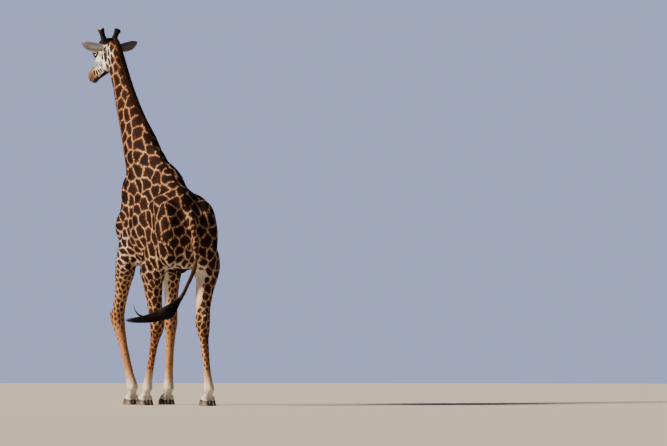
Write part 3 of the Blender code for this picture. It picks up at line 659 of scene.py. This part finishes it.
    # Which way the hair lies, which way the patches run, and how long the hair is.
    off_ear = np.stack([np.sign(off), 0 * x, 0 * x + 0.25], axis=1)
    along_trunk = np.stack([0 * x, 1 - 0.7 * ramp(y, 0.7, 1.25), -0.45 - 0.5 * ramp(y, 0.7, 1.25)], axis=1)
    lie = laid_flat(mixed(shares, np.array(head_back), off_ear, (-0.02, 0.52, -0.85), along_trunk,
                          (0, 0.05, -1.0), (0, 0.1, -1.0), (0, 0.1, -1.0)), normals)
    course = laid_flat(lie + head[:, None] * (np.array(head_up) * 1.4 - np.array(head_back) * 0.7), normals)
    on_leg = np.interp(z, [0.2, 1.4], [0.009, 0.018])
    length = mixed(shares, 0.010, 0.013, 0.024, 0.028, 0.020, on_leg, on_leg)
    length = length * (1 - 0.45 * head * ramp(hy, -0.15, -0.30))
    return {"size": size, "stretch": stretch, "line": line, "vary": 0.0045 * head, "sparse": sparse,
            "ground": ground, "patch_rim": patch_rim, "dark": dark, "lie": lie, "course": course,
            "length": length}


def wavering(places, size):
    """Bends the borders between patches in slow waves, so that none is straight."""
    waves = np.random.default_rng(PATCH_SEED + 1)
    moved = places.copy()
    for _ in range(WAVES):
        course = waves.normal(size=3) * WAVE_RATE
        moved += np.sin(places @ course + waves.random() * 6.28)[:, None] \
            * waves.normal(size=3) * WAVE_HEIGHT * size[:, None]
    return moved


def lattice(places, values):
    """Patch hearts spread over the hide, as far apart as the patch size there asks."""
    draw = np.random.default_rng(PATCH_SEED)
    lie, squeeze = values["course"], 1 - 1 / values["stretch"] ** 2
    hearts = np.empty((MOST_HEARTS, 3))
    count = 0
    for i in draw.permutation(len(places)):
        apart = hearts[:count] - places[i]
        distance = (apart * apart).sum(axis=1) - squeeze[i] * (apart @ lie[i]) ** 2
        if count == 0 or distance.min() > (HEARTS_APART * values["size"][i]) ** 2:
            hearts[count] = places[i]
            count += 1
    hearts = hearts[:count]
    for _ in range(RELAXINGS):
        owner = nearest_hearts(places, values, hearts)[1]
        members = np.maximum(np.bincount(owner, minlength=count), 1)[:, None]
        hearts = np.stack([np.bincount(owner, places[:, k], count) for k in range(3)], axis=1) / members
    return hearts


def nearest_hearts(places, values, hearts):
    """How far each place lies from the border of its patch, and which patch that is."""
    tree_of_hearts = KDTree(len(hearts))
    for i, heart in enumerate(hearts):
        tree_of_hearts.insert(heart, i)
    tree_of_hearts.balance()
    near = np.array([[found[1] for found in tree_of_hearts.find_n(place, NEIGHBOURS)] for place in places])
    lie, squeeze = values["course"][:, None, :], (1 - 1 / values["stretch"] ** 2)[:, None]
    apart = hearts[near] - places[:, None, :]
    distance = (apart ** 2).sum(axis=2) - squeeze * (apart * lie).sum(axis=2) ** 2
    order = np.argsort(distance, axis=1)
    near = np.take_along_axis(near, order, axis=1)
    distance = np.take_along_axis(distance, order, axis=1)
    between = hearts[near[:, 1:]] - hearts[near[:, :1]]
    slope = between - squeeze[:, :, None] * (between * lie).sum(axis=2)[:, :, None] * lie
    border = ((distance[:, 1:] - distance[:, :1]) / 2 / np.linalg.norm(slope, axis=2)).min(axis=1)
    return border, near[:, 0]


def write(mesh, kind="FLOAT", **named):
    """Writes values for every corner of a mesh, for its material to read."""
    field = {"FLOAT": "value", "FLOAT_VECTOR": "vector", "FLOAT_COLOR": "color"}[kind]
    for name, data in named.items():
        corners = mesh.attributes.new(name, kind, "POINT").data
        corners.foreach_set(field, np.asarray(data, dtype=np.float32).ravel())


def marked(mesh, values, border, owner):
    """Writes the coat's values onto a mesh."""
    tones = np.random.default_rng(PATCH_SEED).random(TONES)
    left_out = SPOT_LEFT_OUT * (tones[owner] < values["sparse"]) + values["vary"] * tones[::-1][owner]
    write(mesh, rim=border - values["line"] - left_out, tone=tones[owner], dark=values["dark"],
          grain=values["size"] / LARGE_PATCH)
    write(mesh, "FLOAT_COLOR", ground=np.insert(values["ground"], 3, 1.0, axis=1),
          patch_rim=np.insert(values["patch_rim"], 3, 1.0, axis=1))


def stranded(mesh, places, lie):
    """Places squeezed along the lie of the hair, so that fine noise on them runs out into strands."""
    squeezed = places - STRAND_SQUEEZE * lie * (places * lie).sum(axis=1, keepdims=True)
    write(mesh, "FLOAT_VECTOR", strand=squeezed)


values = coat_at(places, normals, shares)
waved = wavering(places, values["size"])
hearts = lattice(waved, values)
border, owner = nearest_hearts(waved, values, hearts)
marked(skin, values, border, owner)
stranded(skin, places, values["lie"])

# Giraffe hair: short, flat and dense, with a weak sheen along the body. The eye sees leaf-edged patches,
# ragged over 19 mm and dark at heart, tones that drift over 70 mm, and single hairs 2.4 mm apart.
hair, tree, shader = finish_of("giraffe_hair", Roughness=0.75, Specular_IOR_Level=0.07)
spot = add(tree, "ShaderNodeTexCoord", out="Object")
read = {name: add(tree, "ShaderNodeAttribute", {"attribute_name": name}, out)
        for out, names in (("Fac", ("rim", "grain", "tone", "dark")), ("Color", ("patch_rim", "ground")),
                           ("Vector", ("strand",))) for name in names}
ragged = add(tree, "ShaderNodeTexNoise", Vector=spot, Scale=52.0, Detail=4.0, Roughness=0.62)
leaf = add(tree, "ShaderNodeMath", {"operation": "SUBTRACT"}, in_0=ragged, in_1=0.5)
leafy = add(tree, "ShaderNodeMath", {"operation": "MULTIPLY"}, in_0=leaf, in_1=0.036)
scaled = add(tree, "ShaderNodeMath", {"operation": "MULTIPLY"}, in_0=leafy, in_1=read["grain"])
inside = add(tree, "ShaderNodeMath", {"operation": "ADD"}, in_0=read["rim"], in_1=scaled)
within = add(tree, "ShaderNodeMapRange", Value=inside, From_Min=-0.0015, From_Max=0.0020)
deep = add(tree, "ShaderNodeMapRange", Value=inside, From_Min=0.003, From_Max=0.030)
share = add(tree, "ShaderNodeMath", {"operation": "MULTIPLY_ADD"}, in_0=read["tone"], in_1=0.25, in_2=0.75)
hearted = add(tree, "ShaderNodeMath", {"operation": "MULTIPLY"}, in_0=deep, in_1=share)
patch = add(tree, "ShaderNodeMix", Factor=hearted, in_6=read["patch_rim"], in_7=linear("1A0F0A"))
cloud = add(tree, "ShaderNodeTexNoise", Vector=spot, Scale=14.0, Detail=5.0)
shade = add(tree, "ShaderNodeMapRange", Value=cloud, From_Min=0.3, From_Max=0.7, To_Min=0.78, To_Max=1.12)
varied = add(tree, "ShaderNodeMix", {"blend_type": "MULTIPLY"}, Factor=1.0, in_6=read["ground"], in_7=shade)
coloured = add(tree, "ShaderNodeMix", Factor=within, in_6=varied, in_7=patch)
# The dark layer: dark skin and hair at cap, lips, eyes, ear bases and pouch, and painted shade under the jaw,
# in the nostrils and along the crest of neck and back.
frayed = add(tree, "ShaderNodeMath", {"operation": "MULTIPLY_ADD"}, in_0=leaf, in_1=1.5, in_2=read["dark"])
darkened = add(tree, "ShaderNodeMapRange", Value=frayed, From_Min=0.35, From_Max=0.6)
topped = add(tree, "ShaderNodeMix", Factor=darkened, in_6=coloured, in_7=linear("21140F"))
hairs = add(tree, "ShaderNodeTexNoise", Vector=read["strand"], Scale=420.0, Detail=2.0)
streak = add(tree, "ShaderNodeMapRange", Value=hairs, From_Min=0.3, From_Max=0.7, To_Min=0.80, To_Max=1.15)
streaked = add(tree, "ShaderNodeMix", {"blend_type": "MULTIPLY"}, Factor=1.0, in_6=topped, in_7=streak)
join(shader, streaked, add(tree, "ShaderNodeBump", Strength=0.35, Distance=0.002, Height=hairs))

piece = new_piece("skin", skin, hair)
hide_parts(*FLESH)
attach(piece, "root")

# ------------------------------------------------------------------ the coat
# Short hair over the whole hide, in flat pointed locks that lie back along the body and overlap like
# thatch. Each lock is a closed sliver, rooted just under the skin, in the colour of its own root.

LOCK_SEED = 23
FAN, LENGTHS, WIDTHS, LIFTS, SHINE_FAN = 0.16, (0.75, 1.3), (0.24, 0.36), (0.02, 0.07), 0.10
LOCKS = {"coat_head": 24000, "coat_neck_left": 21000, "coat_neck_right": 21000, "coat_chest_left": 26000,
         "coat_chest_right": 26000, "coat_rump_left": 25000, "coat_rump_right": 25000,
         "coat_foreleg_left": 9000, "coat_foreleg_right": 9000, "coat_hindleg_left": 10000,
         "coat_hindleg_right": 10000, "coat_tail": 3000}
LOCK_SHAPE = np.array([(0.0, 0, -0.0015), (0.40, 0.5, -0.0002), (0.40, -0.5, -0.0002), (0.46, 0, 0.0011),
                       (1.0, 0, 0.0006)])
LOCK_FACES = np.array([(0, 3, 1), (0, 2, 3), (1, 3, 4), (3, 2, 4), (0, 1, 2), (1, 4, 2)])
UV_PATCH = 0.003
LID_REACH = 0.038


def scattered(mesh, count, weights, seed):
    """Random places on a mesh, denser where the weight is higher: triangle corners and their shares."""
    draw = np.random.default_rng(seed)
    mesh.calc_loop_triangles()
    triangles = np.empty(len(mesh.loop_triangles) * 3, dtype=int)
    mesh.loop_triangles.foreach_get("vertices", triangles)
    triangles = triangles.reshape(-1, 3)
    places, _ = corners_of(mesh)
    a, b, c = (places[triangles[:, k]] for k in range(3))
    area = np.linalg.norm(np.cross(b - a, c - a), axis=1) * weights[triangles].mean(axis=1)
    chosen = triangles[draw.choice(len(triangles), count, p=area / area.sum())]
    one, two = np.sqrt(draw.random(count)), draw.random(count)
    return chosen, np.stack([1 - one, one * (1 - two), one * two], axis=1)


def spread(values, chosen, part):
    """Values of a mesh's corners, read at scattered places."""
    return (values[chosen] * (part if values.ndim == 1 else part[:, :, None])).sum(axis=1)


def ranked(values):
    """Where each value stands among all, from 0 to 1."""
    return np.argsort(np.argsort(values)) / len(values)


def hair_mesh(name, corners, faces_of_one, spots, count, material):
    """So many alike slivers of hair as one piece, from their corners and the corners' spots in the unwrap."""
    faces = (faces_of_one[None] + (np.arange(count) * (len(corners) // count))[:, None, None]).reshape(-1, 3)
    mesh = bpy.data.meshes.new(name)
    mesh.vertices.add(len(corners))
    mesh.vertices.foreach_set("co", corners.astype(np.float32).ravel())
    mesh.loops.add(len(faces) * 3)
    mesh.loops.foreach_set("vertex_index", faces.astype(np.int32).ravel())
    mesh.polygons.add(len(faces))
    mesh.polygons.foreach_set("loop_start", np.arange(0, len(faces) * 3, 3, dtype=np.int32))
    mesh.update(calc_edges=True)
    mesh.uv_layers.new(name="OFBake").data.foreach_set("uv", spots[faces.ravel()].astype(np.float32).ravel())
    mesh.shade_smooth()
    return new_piece(name, mesh, material)


def locks(name, roots, normals, lie, length, width, lift, unwrap, material):
    """Pointed locks of hair as one mesh, with a patch of the OFBake unwrap for each."""
    across = np.cross(normals, lie)
    thick = np.minimum(length / 0.028, 1)[:, None, None]
    shape = LOCK_SHAPE[None, :, :]
    rising = shape[:, :, 2:] * thick + (shape[:, :, :1] ** 1.5) * lift[:, None, None]
    corners = (roots[:, None, :] + lie[:, None, :] * (shape[:, :, :1] * length[:, None, None])
               + across[:, None, :] * (shape[:, :, 1:2] * width[:, None, None])
               + normals[:, None, :] * rising)
    patch = (LOCK_SHAPE[:, :2] * (1, 1) + (0, 0.5)) * UV_PATCH
    spots = (unwrap[:, None, :] * (1 - UV_PATCH) + patch[None]).reshape(-1, 2)
    piece = hair_mesh(name, corners.reshape(-1, 3), LOCK_FACES, spots, len(roots), material)
    stranded(piece.data, corners.reshape(-1, 3), np.repeat(lie, len(LOCK_SHAPE), axis=0))
    return piece


def tipped(piece, count):
    """Tells the hair's material how far along its lock each corner lies."""
    write(piece.data, tip=np.tile(LOCK_SHAPE[:, 0], count))


def repeated(mesh, values, border, owner):
    """Gives every corner of a lock the coat's values at the lock's root."""
    times = len(LOCK_SHAPE)
    marked(mesh, {key: np.repeat(value, times, axis=0) for key, value in values.items()},
           np.repeat(border, times), np.repeat(owner, times))


part_of = np.argmax(shares, axis=1)
bare_of_lids = np.all([away_from(eye, places) > LID_REACH for eye in (eye_left, eye_right)], axis=0)
trunk_low, trunk_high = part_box("trunk")
left_side = places[:, 0] > np.interp(places[:, 1], [mane_low.y, tail_root.y], [mane_high.x, tail_root.x])
rear = places[:, 1] > (trunk_low.y + trunk_high.y) / 2


def belongs(name):
    """Which corners of the hide a piece of the coat grows from."""
    side = left_side if name.endswith("left") else ~left_side
    if "chest" in name or "rump" in name:
        return (part_of == 3) & side & (rear if "rump" in name else ~rear)
    if name == "coat_head":
        return part_of <= 1
    if name == "coat_tail":
        return part_of == 4
    return (part_of == next(k for k, part in enumerate(PARTS) if part in name)) & side


for number, (name, count) in enumerate(LOCKS.items()):
    draw = np.random.default_rng(LOCK_SEED + number)
    density = belongs(name) * (under_horn < 0.3) * bare_of_lids / (values["length"] ** 1.3)
    chosen, part = scattered(skin, count, density, LOCK_SEED + number)
    roots = spread(places, chosen, part)
    out = unit(spread(normals, chosen, part))
    root_shares = spread(shares, chosen, part)
    root_values = coat_at(roots, out, root_shares)
    root_border, root_owner = nearest_hearts(wavering(roots, root_values["size"]), root_values, hearts)
    lie = unit(root_values["lie"] + np.cross(out, root_values["lie"]) * draw.normal(0, FAN, (count, 1)))
    length = root_values["length"] * draw.uniform(*LENGTHS, count)
    width = length * draw.uniform(*WIDTHS, count)
    lift = length * np.abs(draw.normal(*LIFTS, count))
    if name == "coat_head":
        sleeve = np.arctan2(out @ head_axes[0], out @ head_axes[2]), roots @ head_axes[1]
    elif "neck" in name or "leg" in name or "tail" in name:
        sleeve = np.arctan2(out[:, 0], out[:, 1]), roots[:, 2]
    else:
        sleeve = out[:, 2], roots[:, 1]
    unwrap = np.stack([ranked(side) for side in sleeve], axis=1)
    piece = locks(name, roots, out, lie, length, width, lift, unwrap, hair)
    shine = (out + draw.normal(0, SHINE_FAN, (count, 3)))[:, None, :] \
        + np.cross(out, lie)[:, None, :] * LOCK_SHAPE[None, :, 1:2] * 0.7
    piece.data.normals_split_custom_set_from_vertices(unit(shine).reshape(-1, 3).tolist())
    repeated(piece.data, root_values, root_border, root_owner)
    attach(piece, "root")

# ------------------------------------------------------------------ the eyes
# Large, dark, wet balls: a brown iris with a level slit of a pupil under a clear bulging cornea.

IRIS_REACH = math.radians(42)
CORNEA_RISE = 0.05

# Wet and clear: it mirrors the lamp sharply, over a brown iris in fibres 4 mm apart and a dark white.
wet, tree, shader = finish_of("wet_eye", Roughness=0.08, IOR=1.376, Coat_Weight=0.6, Coat_Roughness=0.03)
ring = add(tree, "ShaderNodeAttribute", {"attribute_name": "reach"}, out="Fac")
level = add(tree, "ShaderNodeAttribute", {"attribute_name": "slit"}, out="Fac")
fibres = add(tree, "ShaderNodeTexNoise", Scale=260.0, Detail=3.0)
iris = add(tree, "ShaderNodeMix", Factor=fibres, in_6=linear("0E0705"), in_7=linear("2C170C"))
white = add(tree, "ShaderNodeMapRange", Value=ring, From_Min=1.0, From_Max=1.12)
eyeball = add(tree, "ShaderNodeMix", Factor=white, in_6=iris, in_7=linear("3A2A22"))
hole = add(tree, "ShaderNodeMapRange", Value=level, From_Min=1.0, From_Max=0.9)
join(shader, add(tree, "ShaderNodeMix", Factor=hole, in_6=eyeball, in_7=linear("040303")))
for node, (middle, ball_radius, outward, _, _) in lids.items():
    ball = bmesh.new()
    bmesh.ops.create_icosphere(ball, subdivisions=4, radius=ball_radius)
    reach, slit = [], []
    for corner in ball.verts:
        angle = corner.co.angle(outward)
        along = abs(corner.co.dot(head_back)) / corner.co.length
        tall = abs(corner.co.dot(outward.cross(head_back))) / corner.co.length
        reach.append(angle / IRIS_REACH)
        slit.append(math.hypot(along / 0.50, tall / 0.24) if angle < 1.2 else 9.0)
        bulge = max(0.0, math.cos(min(angle / IRIS_REACH, 1) * 1.57))
        corner.co = middle + corner.co * (1 + CORNEA_RISE * bulge)
    mesh = mesh_of(node + "_ball", ball)
    mesh.shade_smooth()
    write(mesh, reach=reach, slit=slit)
    piece = new_piece(node + "_ball", mesh, wet)
    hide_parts(node)
    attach(piece, "root")

# Lashes, long and stiff, along the edge of the upper lid: coarse near-black hair, browner at the tips.
LASHES = 90
LASH_WIDTH = 0.0022
black_hair, tree, shader = finish_of("coarse_black_hair", Roughness=0.5, Specular_IOR_Level=0.25)
tip = add(tree, "ShaderNodeAttribute", {"attribute_name": "tip"}, out="Fac")
join(shader, add(tree, "ShaderNodeMix", Factor=tip, in_6=linear("0B0807"), in_7=linear("201510")))
for node, (middle, ball_radius, straight_out, corner_way, upwards) in lids.items():
    draw = np.random.default_rng(LOCK_SEED)
    turn = np.linspace(-0.85, 0.85, LASHES) + draw.normal(0, 0.01, LASHES)
    along, tall = turn * LID_LONG, LID_TALL * (1 - turn ** 2)
    ways = (np.cos(tall) * np.cos(along))[:, None] * np.array(straight_out) \
        + (np.cos(tall) * np.sin(along))[:, None] * np.array(corner_way) \
        + np.sin(tall)[:, None] * np.array(upwards)
    roots = np.array(middle) + ways * (ball_radius + 0.0040)
    lie = unit(ways + np.array(upwards) * (0.25 - 0.5 * np.sin(tall))[:, None]
               + draw.normal(0, 0.07, (LASHES, 3)))
    length = (0.034 - 0.012 * turn ** 2) * draw.uniform(0.85, 1.1, LASHES)
    unwrap = np.stack([turn * 0.5 + 0.5, draw.random(LASHES)], axis=1)
    piece = locks(node + "_lashes", roots, unit(np.cross(lie, np.array(corner_way))), lie, length,
                  np.full(LASHES, LASH_WIDTH), 0.004 + 0 * length, unwrap, black_hair)
    tipped(piece, LASHES)
    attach(piece, "root")

# ------------------------------------------------------------------ the ossicones
# Two bony horns grown over with skin and dark hair. A bull's are bald and pale on top, where they
# knock, with a black ring of hair round the bald knob.

HORN_MESH = 0.0045
HORN_LOCKS = 3600
KNOB_DEPTH, KNOB_REACH, KNOB_SWELL, BALD_REACH = 0.025, 0.034, 0.009, 0.036

# Brown skin at the foot, black hair in a ring, and a pale worn knob, blotched over 14 mm with a 3 mm grain.
horn_coat, tree, shader = finish_of("ossicone_skin_and_hair", Roughness=0.7, Specular_IOR_Level=0.15)
rise = add(tree, "ShaderNodeAttribute", {"attribute_name": "rise"}, out="Fac")
blotch = add(tree, "ShaderNodeTexNoise", Scale=70.0, Detail=4.0)
uneven = add(tree, "ShaderNodeMath", {"operation": "MULTIPLY_ADD"}, in_0=blotch, in_1=0.06, in_2=rise)
bands = add(tree, "ShaderNodeValToRGB", Fac=uneven)
steps = bands.node.color_ramp.elements
steps[0].position, steps[0].color = 0.10, linear("4A3626")
steps[1].position, steps[1].color = 0.50, linear("0E0A09")
for position, colour in ((0.90, "0C0908"), (0.94, "7C6C62"), (0.98, "B5A698")):
    steps.new(position).color = linear(colour)
grain = add(tree, "ShaderNodeTexNoise", Scale=300.0, Detail=3.0)
join(shader, bands, add(tree, "ShaderNodeBump", Strength=0.4, Distance=0.002, Height=grain))
for node in ("ossicone_left", "ossicone_right"):
    stem = fused([node], HORN_MESH)
    relax(stem, stem.verts[:], 12)
    stem.normal_update()
    stem.verts.index_update()
    hand = 1 if node.endswith("left") else -1
    root = brow + head_left * (hand * 0.0465) + head_back * 0.195 + head_up * 0.034
    axis = (centre_of(node) - root).normalized()
    heights = [corner.co.dot(axis) for corner in stem.verts]
    least, most = min(heights), max(heights)
    knob = [corner for corner in stem.verts if corner.co.dot(axis) > most - KNOB_DEPTH]
    crown = sum((corner.co for corner in knob), Vector()) / len(knob)
    rises = (np.array(heights) - least) / (most - least)
    for corner in knob:
        out_by = (corner.co - crown) - axis * (corner.co - crown).dot(axis)
        rises[corner.index] = min(rises[corner.index], 0.90 + 0.10 * (1 - (out_by.length / BALD_REACH) ** 2))
        corner.co += axis * (KNOB_SWELL * max(0.0, 1 - (out_by.length / KNOB_REACH) ** 2)
                             * float(ramp(corner.co.dot(axis), most - 0.020, most - 0.004)))
    mesh = mesh_of(node + "_horn", stem)
    mesh.shade_smooth()
    write(mesh, rise=rises)
    piece = new_piece(node + "_horn", mesh, horn_coat)
    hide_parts(node)
    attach(piece, "root")
    horn_places, horn_normals = corners_of(mesh)
    draw = np.random.default_rng(LOCK_SEED + len(node))
    dense = ramp(rises, 0.925, 0.900) * (0.4 + 1.2 * ramp(rises, 0.6, 0.85))
    chosen, part = scattered(mesh, HORN_LOCKS, dense, LOCK_SEED)
    roots = spread(horn_places, chosen, part)
    out = unit(spread(horn_normals, chosen, part))
    lie = laid_flat(np.array(axis) + draw.normal(0, 0.15, (HORN_LOCKS, 3)), out)
    length = draw.uniform(0.010, 0.018, HORN_LOCKS)
    turned = (np.arctan2(out[:, 0], out[:, 1]) / 6.3 + 0.5) % 1
    unwrap = np.stack([turned, spread(rises, chosen, part)], axis=1)
    piece = locks(node + "_hair", roots, out, lie, length, length * 0.2, length * 0.12, unwrap, black_hair)
    tipped(piece, HORN_LOCKS)
    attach(piece, "root")

# ------------------------------------------------------------------ the hooves
# Two claws of grey-brown horn to each foot, grown down from a hairy band in rings, dusty at the toe.

CLAW_MESH = 0.0040
RING_APART = 0.011
RING_HEIGHT, INSIDE_THE_HIDE = 0.0005, 0.0006

# Hard horn, half glossy: brown-black streaks 11 mm wide and 140 mm tall, dusty over the lowest 60 mm.
claw_horn, tree, shader = finish_of("hoof_horn", Roughness=0.5, Specular_IOR_Level=0.35)
spot = add(tree, "ShaderNodeTexCoord", out="Object")
height = add(tree, "ShaderNodeSeparateXYZ", out="Z", Vector=spot)
drawn_out = add(tree, "ShaderNodeMapping", Vector=spot, Scale=(90.0, 90.0, 7.0))
streaks = add(tree, "ShaderNodeTexNoise", Vector=drawn_out, Scale=1.0, Detail=4.0)
wear = add(tree, "ShaderNodeMapRange", Value=height, From_Min=0.0, From_Max=0.06)
horn_tone = add(tree, "ShaderNodeMix", Factor=streaks, in_6=linear("18120F"), in_7=linear("42372F"))
dusty = add(tree, "ShaderNodeMix", Factor=wear, in_6=linear("65574A"), in_7=horn_tone)
join(shader, dusty, add(tree, "ShaderNodeBump", Strength=0.4, Distance=0.001, Height=streaks))
for node in CLAWS:
    low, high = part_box(node)
    claw = fused([node], CLAW_MESH)
    relax(claw, [corner for corner in claw.verts if corner.co.z > 0.012], 14)
    hairline = Vector((0, high.y - low.y, HORN_AT_HEEL - HORN_AT_TOE)).cross(Vector((1, 0, 0))).normalized()
    hairline *= -1 if hairline.z < 0 else 1
    sliced(claw, (0, low.y, HORN_AT_TOE), hairline)
    bmesh.ops.holes_fill(claw, edges=[edge for edge in claw.edges if edge.is_boundary])
    claw.normal_update()
    for corner in claw.verts:
        ringing = math.sin(corner.co.z / RING_APART * math.tau) * ramp(corner.co.z, 0.008, 0.02)
        side = Vector((corner.normal.x, corner.normal.y, 0))
        corner.co += side * (RING_HEIGHT * float(ringing) - INSIDE_THE_HIDE)
        corner.co.z = max(corner.co.z, 0.0)
    mesh = mesh_of(node + "_horn", claw)
    mesh.vertices.foreach_set("co", trodden(corners_of(mesh)[0]).astype(np.float32).ravel())
    mesh.shade_smooth()
    piece = new_piece(node + "_horn", mesh, claw_horn)
    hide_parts(node)
    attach(piece, "root")

# ------------------------------------------------------------------ the mane
# A stiff upright brush of dark red-brown hair down the back of the neck, from between the ears to the
# withers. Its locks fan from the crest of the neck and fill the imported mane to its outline.

MANE_LOCKS = 9000
MANE_MESH = 0.006
MANE_WIDTH = 0.0042

# Coarse dull hair: dark brown, redder in clumps 60 mm wide, and near black at the tips.
mane_hair, tree, shader = finish_of("stiff_mane_hair", Roughness=0.6, Specular_IOR_Level=0.15)
tip = add(tree, "ShaderNodeAttribute", {"attribute_name": "tip"}, out="Fac")
clumps = add(tree, "ShaderNodeTexNoise", Scale=16.0, Detail=3.0)
rooted = add(tree, "ShaderNodeMix", Factor=clumps, in_6=linear("3A1D10"), in_7=linear("5A2E18"))
far_out = add(tree, "ShaderNodeMapRange", Value=tip, From_Min=0.50, From_Max=0.95)
join(shader, add(tree, "ShaderNodeMix", Factor=far_out, in_6=rooted, in_7=linear("150D0B")))
crest = fused(["mane"], MANE_MESH)
crest.normal_update()
crest_mesh = mesh_of("crest", crest)
hide_tree = BVHTree.FromPolygons([tuple(place) for place in places],
                                 [tuple(face.vertices) for face in skin.polygons])
crest_places, _ = corners_of(crest_mesh)
footing = [hide_tree.find_nearest(place) for place in crest_places]
proud = np.array([(Vector(place) - foot[0]).dot(foot[1]) for place, foot in zip(crest_places, footing)])
chosen, part = scattered(crest_mesh, MANE_LOCKS, ramp(proud, 0.008, 0.05) + 1e-6, LOCK_SEED)
ends = spread(crest_places, chosen, part)
draw = np.random.default_rng(LOCK_SEED)
down_the_crest = unit(np.array([[-0.02, 0.55, -0.83]]))
starts = np.array([hide_tree.find_nearest(Vector(end - 0.022 * down_the_crest[0]))[0] for end in ends])
heading = ends - starts
length = np.linalg.norm(heading, axis=1) * draw.uniform(0.9, 1.02, MANE_LOCKS)
lie = unit(heading)
sideways = laid_flat(unit(np.cross(lie, down_the_crest) + draw.normal(0, 0.5, (MANE_LOCKS, 3))), lie)
unwrap = np.stack([ranked(ends[:, 2]), ranked(ends[:, 0])], axis=1)
width = np.full(MANE_LOCKS, MANE_WIDTH)
piece = locks("mane_locks", starts, sideways, lie, length, width, 0 * length, unwrap, mane_hair)
tipped(piece, MANE_LOCKS)
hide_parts("mane")
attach(piece, "root")
bpy.data.meshes.remove(crest_mesh)

# ------------------------------------------------------------------ the brush of the tail
# A long switch of coarse black hair, swung out to the left, with wispy ends and one lock curling up.

STRANDS = 1300
CURL_STRANDS = 70
STRAND_GIRTH, CURL_GIRTH = 0.0013, 0.0011
STRAND_STEPS = 14
ROUTE_STEPS = 11
brush_places, _ = corners_of(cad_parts["tail_tuft"].data)
brush_low, brush_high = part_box("tail_tuft")
cuts = np.linspace(brush_low.x, brush_high.x, ROUTE_STEPS + 1)
route = []
thickness = []
for start, end in zip(cuts[:-1], cuts[1:]):
    slice_of = brush_places[(brush_places[:, 0] >= start - 0.004) & (brush_places[:, 0] <= end + 0.004)]
    route.append((slice_of.min(axis=0) + slice_of.max(axis=0)) / 2)
    thickness.append((slice_of[:, 2].max() - slice_of[:, 2].min()) / 2)
tail_skin = places[part_of == 4]
dock_line = [tail_skin[abs(tail_skin[:, 2] - level) < 0.03].mean(axis=0)
             for level in (1.46, 1.38, 1.30, 1.24)]
route = np.array(dock_line + route[2:])
thickness = np.array([0.012, 0.013, 0.015, 0.020] + [0.9 * wide for wide in thickness[2:]])
draw = np.random.default_rng(LOCK_SEED + 7)


def strands_along(name, route, thickness, count, start, reach, radius, waviness, material):
    """Long hairs that follow a route side by side, each a thin closed three-sided whip."""
    steps = np.linspace(0, 1, STRAND_STEPS)
    last = len(route) - 1
    corners = np.empty((count, STRAND_STEPS * 3 + 1, 3))
    for i in range(count):
        spin = draw.uniform(0, math.tau)
        spread_out = math.sqrt(draw.uniform())
        first = draw.uniform(*start)
        at = first + steps * (draw.uniform(*reach) * last - first)
        middle = np.stack([np.interp(at, np.arange(last + 1), route[:, k]) for k in range(3)], axis=1)
        wide = np.interp(at, np.arange(last + 1), thickness)
        wide = wide * np.where(at < 3, 0.6 + 0.4 * spread_out, spread_out)
        heading = unit(np.gradient(middle, axis=0))
        up = unit(np.cross(heading, (0.0, 1.0, 0.0)))
        side = np.cross(heading, up)
        phase = draw.uniform(0, math.tau)
        turn = spin + waviness * np.sin(steps * draw.uniform(3, 7) + phase) * steps
        middle = middle + up * (wide * np.sin(turn))[:, None] + side * (wide * np.cos(turn))[:, None]
        girth = radius * (1 - 0.85 * steps ** 2)[:, None]
        for k in range(3):
            round_by = k * math.tau / 3 + spin
            corners[i, k:STRAND_STEPS * 3:3] = middle + up * girth * math.sin(round_by) \
                + side * girth * math.cos(round_by)
        corners[i, -1] = middle[-1] + heading[-1] * 0.006
    faces = [(0, 1, 2)]
    for step in range(STRAND_STEPS - 1):
        for k in range(3):
            a, b = step * 3 + k, step * 3 + (k + 1) % 3
            faces += [(a, a + 3, b), (b, a + 3, b + 3)]
    top = (STRAND_STEPS - 1) * 3
    faces += [(top + k, STRAND_STEPS * 3, top + (k + 1) % 3) for k in range(3)]
    along = np.tile(np.append(np.repeat(steps, 3), 1.0), count)
    spots = np.stack([along, np.repeat(draw.uniform(0, 1, count), STRAND_STEPS * 3 + 1)], axis=1)
    round_it = np.tile(np.append(np.tile([0, 0.5, 1], STRAND_STEPS), 0.5), count)
    spots = spots * (1 - UV_PATCH) + round_it[:, None] * UV_PATCH * np.array([[0.0, 1.0]])
    piece = hair_mesh(name, corners.reshape(-1, 3), np.array(faces), spots, count, material)
    write(piece.data, tip=along)
    return piece


piece = strands_along("tail_brush", route, thickness, STRANDS, (0.0, 3.4), (0.62, 1.0), STRAND_GIRTH,
                      1.0, black_hair)
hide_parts("tail_tuft")
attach(piece, "root")
leaving = len(route) - 6
curl = route[leaving] + np.array([(0.0, 0, 0), (0.10, 0, 0.005), (0.17, 0, 0.030), (0.215, 0, 0.080),
                                  (0.235, 0, 0.150)])
curl_thickness = np.array([0.016, 0.012, 0.009, 0.006, 0.003])
piece = strands_along("tail_curl", curl, curl_thickness, CURL_STRANDS, (0.0, 0.6), (0.75, 1.0), CURL_GIRTH,
                      0.6, black_hair)
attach(piece, "root")

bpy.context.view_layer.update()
# Blender's startup cube is no part of the scene.
if "Cube" in bpy.data.objects:
    bpy.data.objects.remove(bpy.data.objects["Cube"])
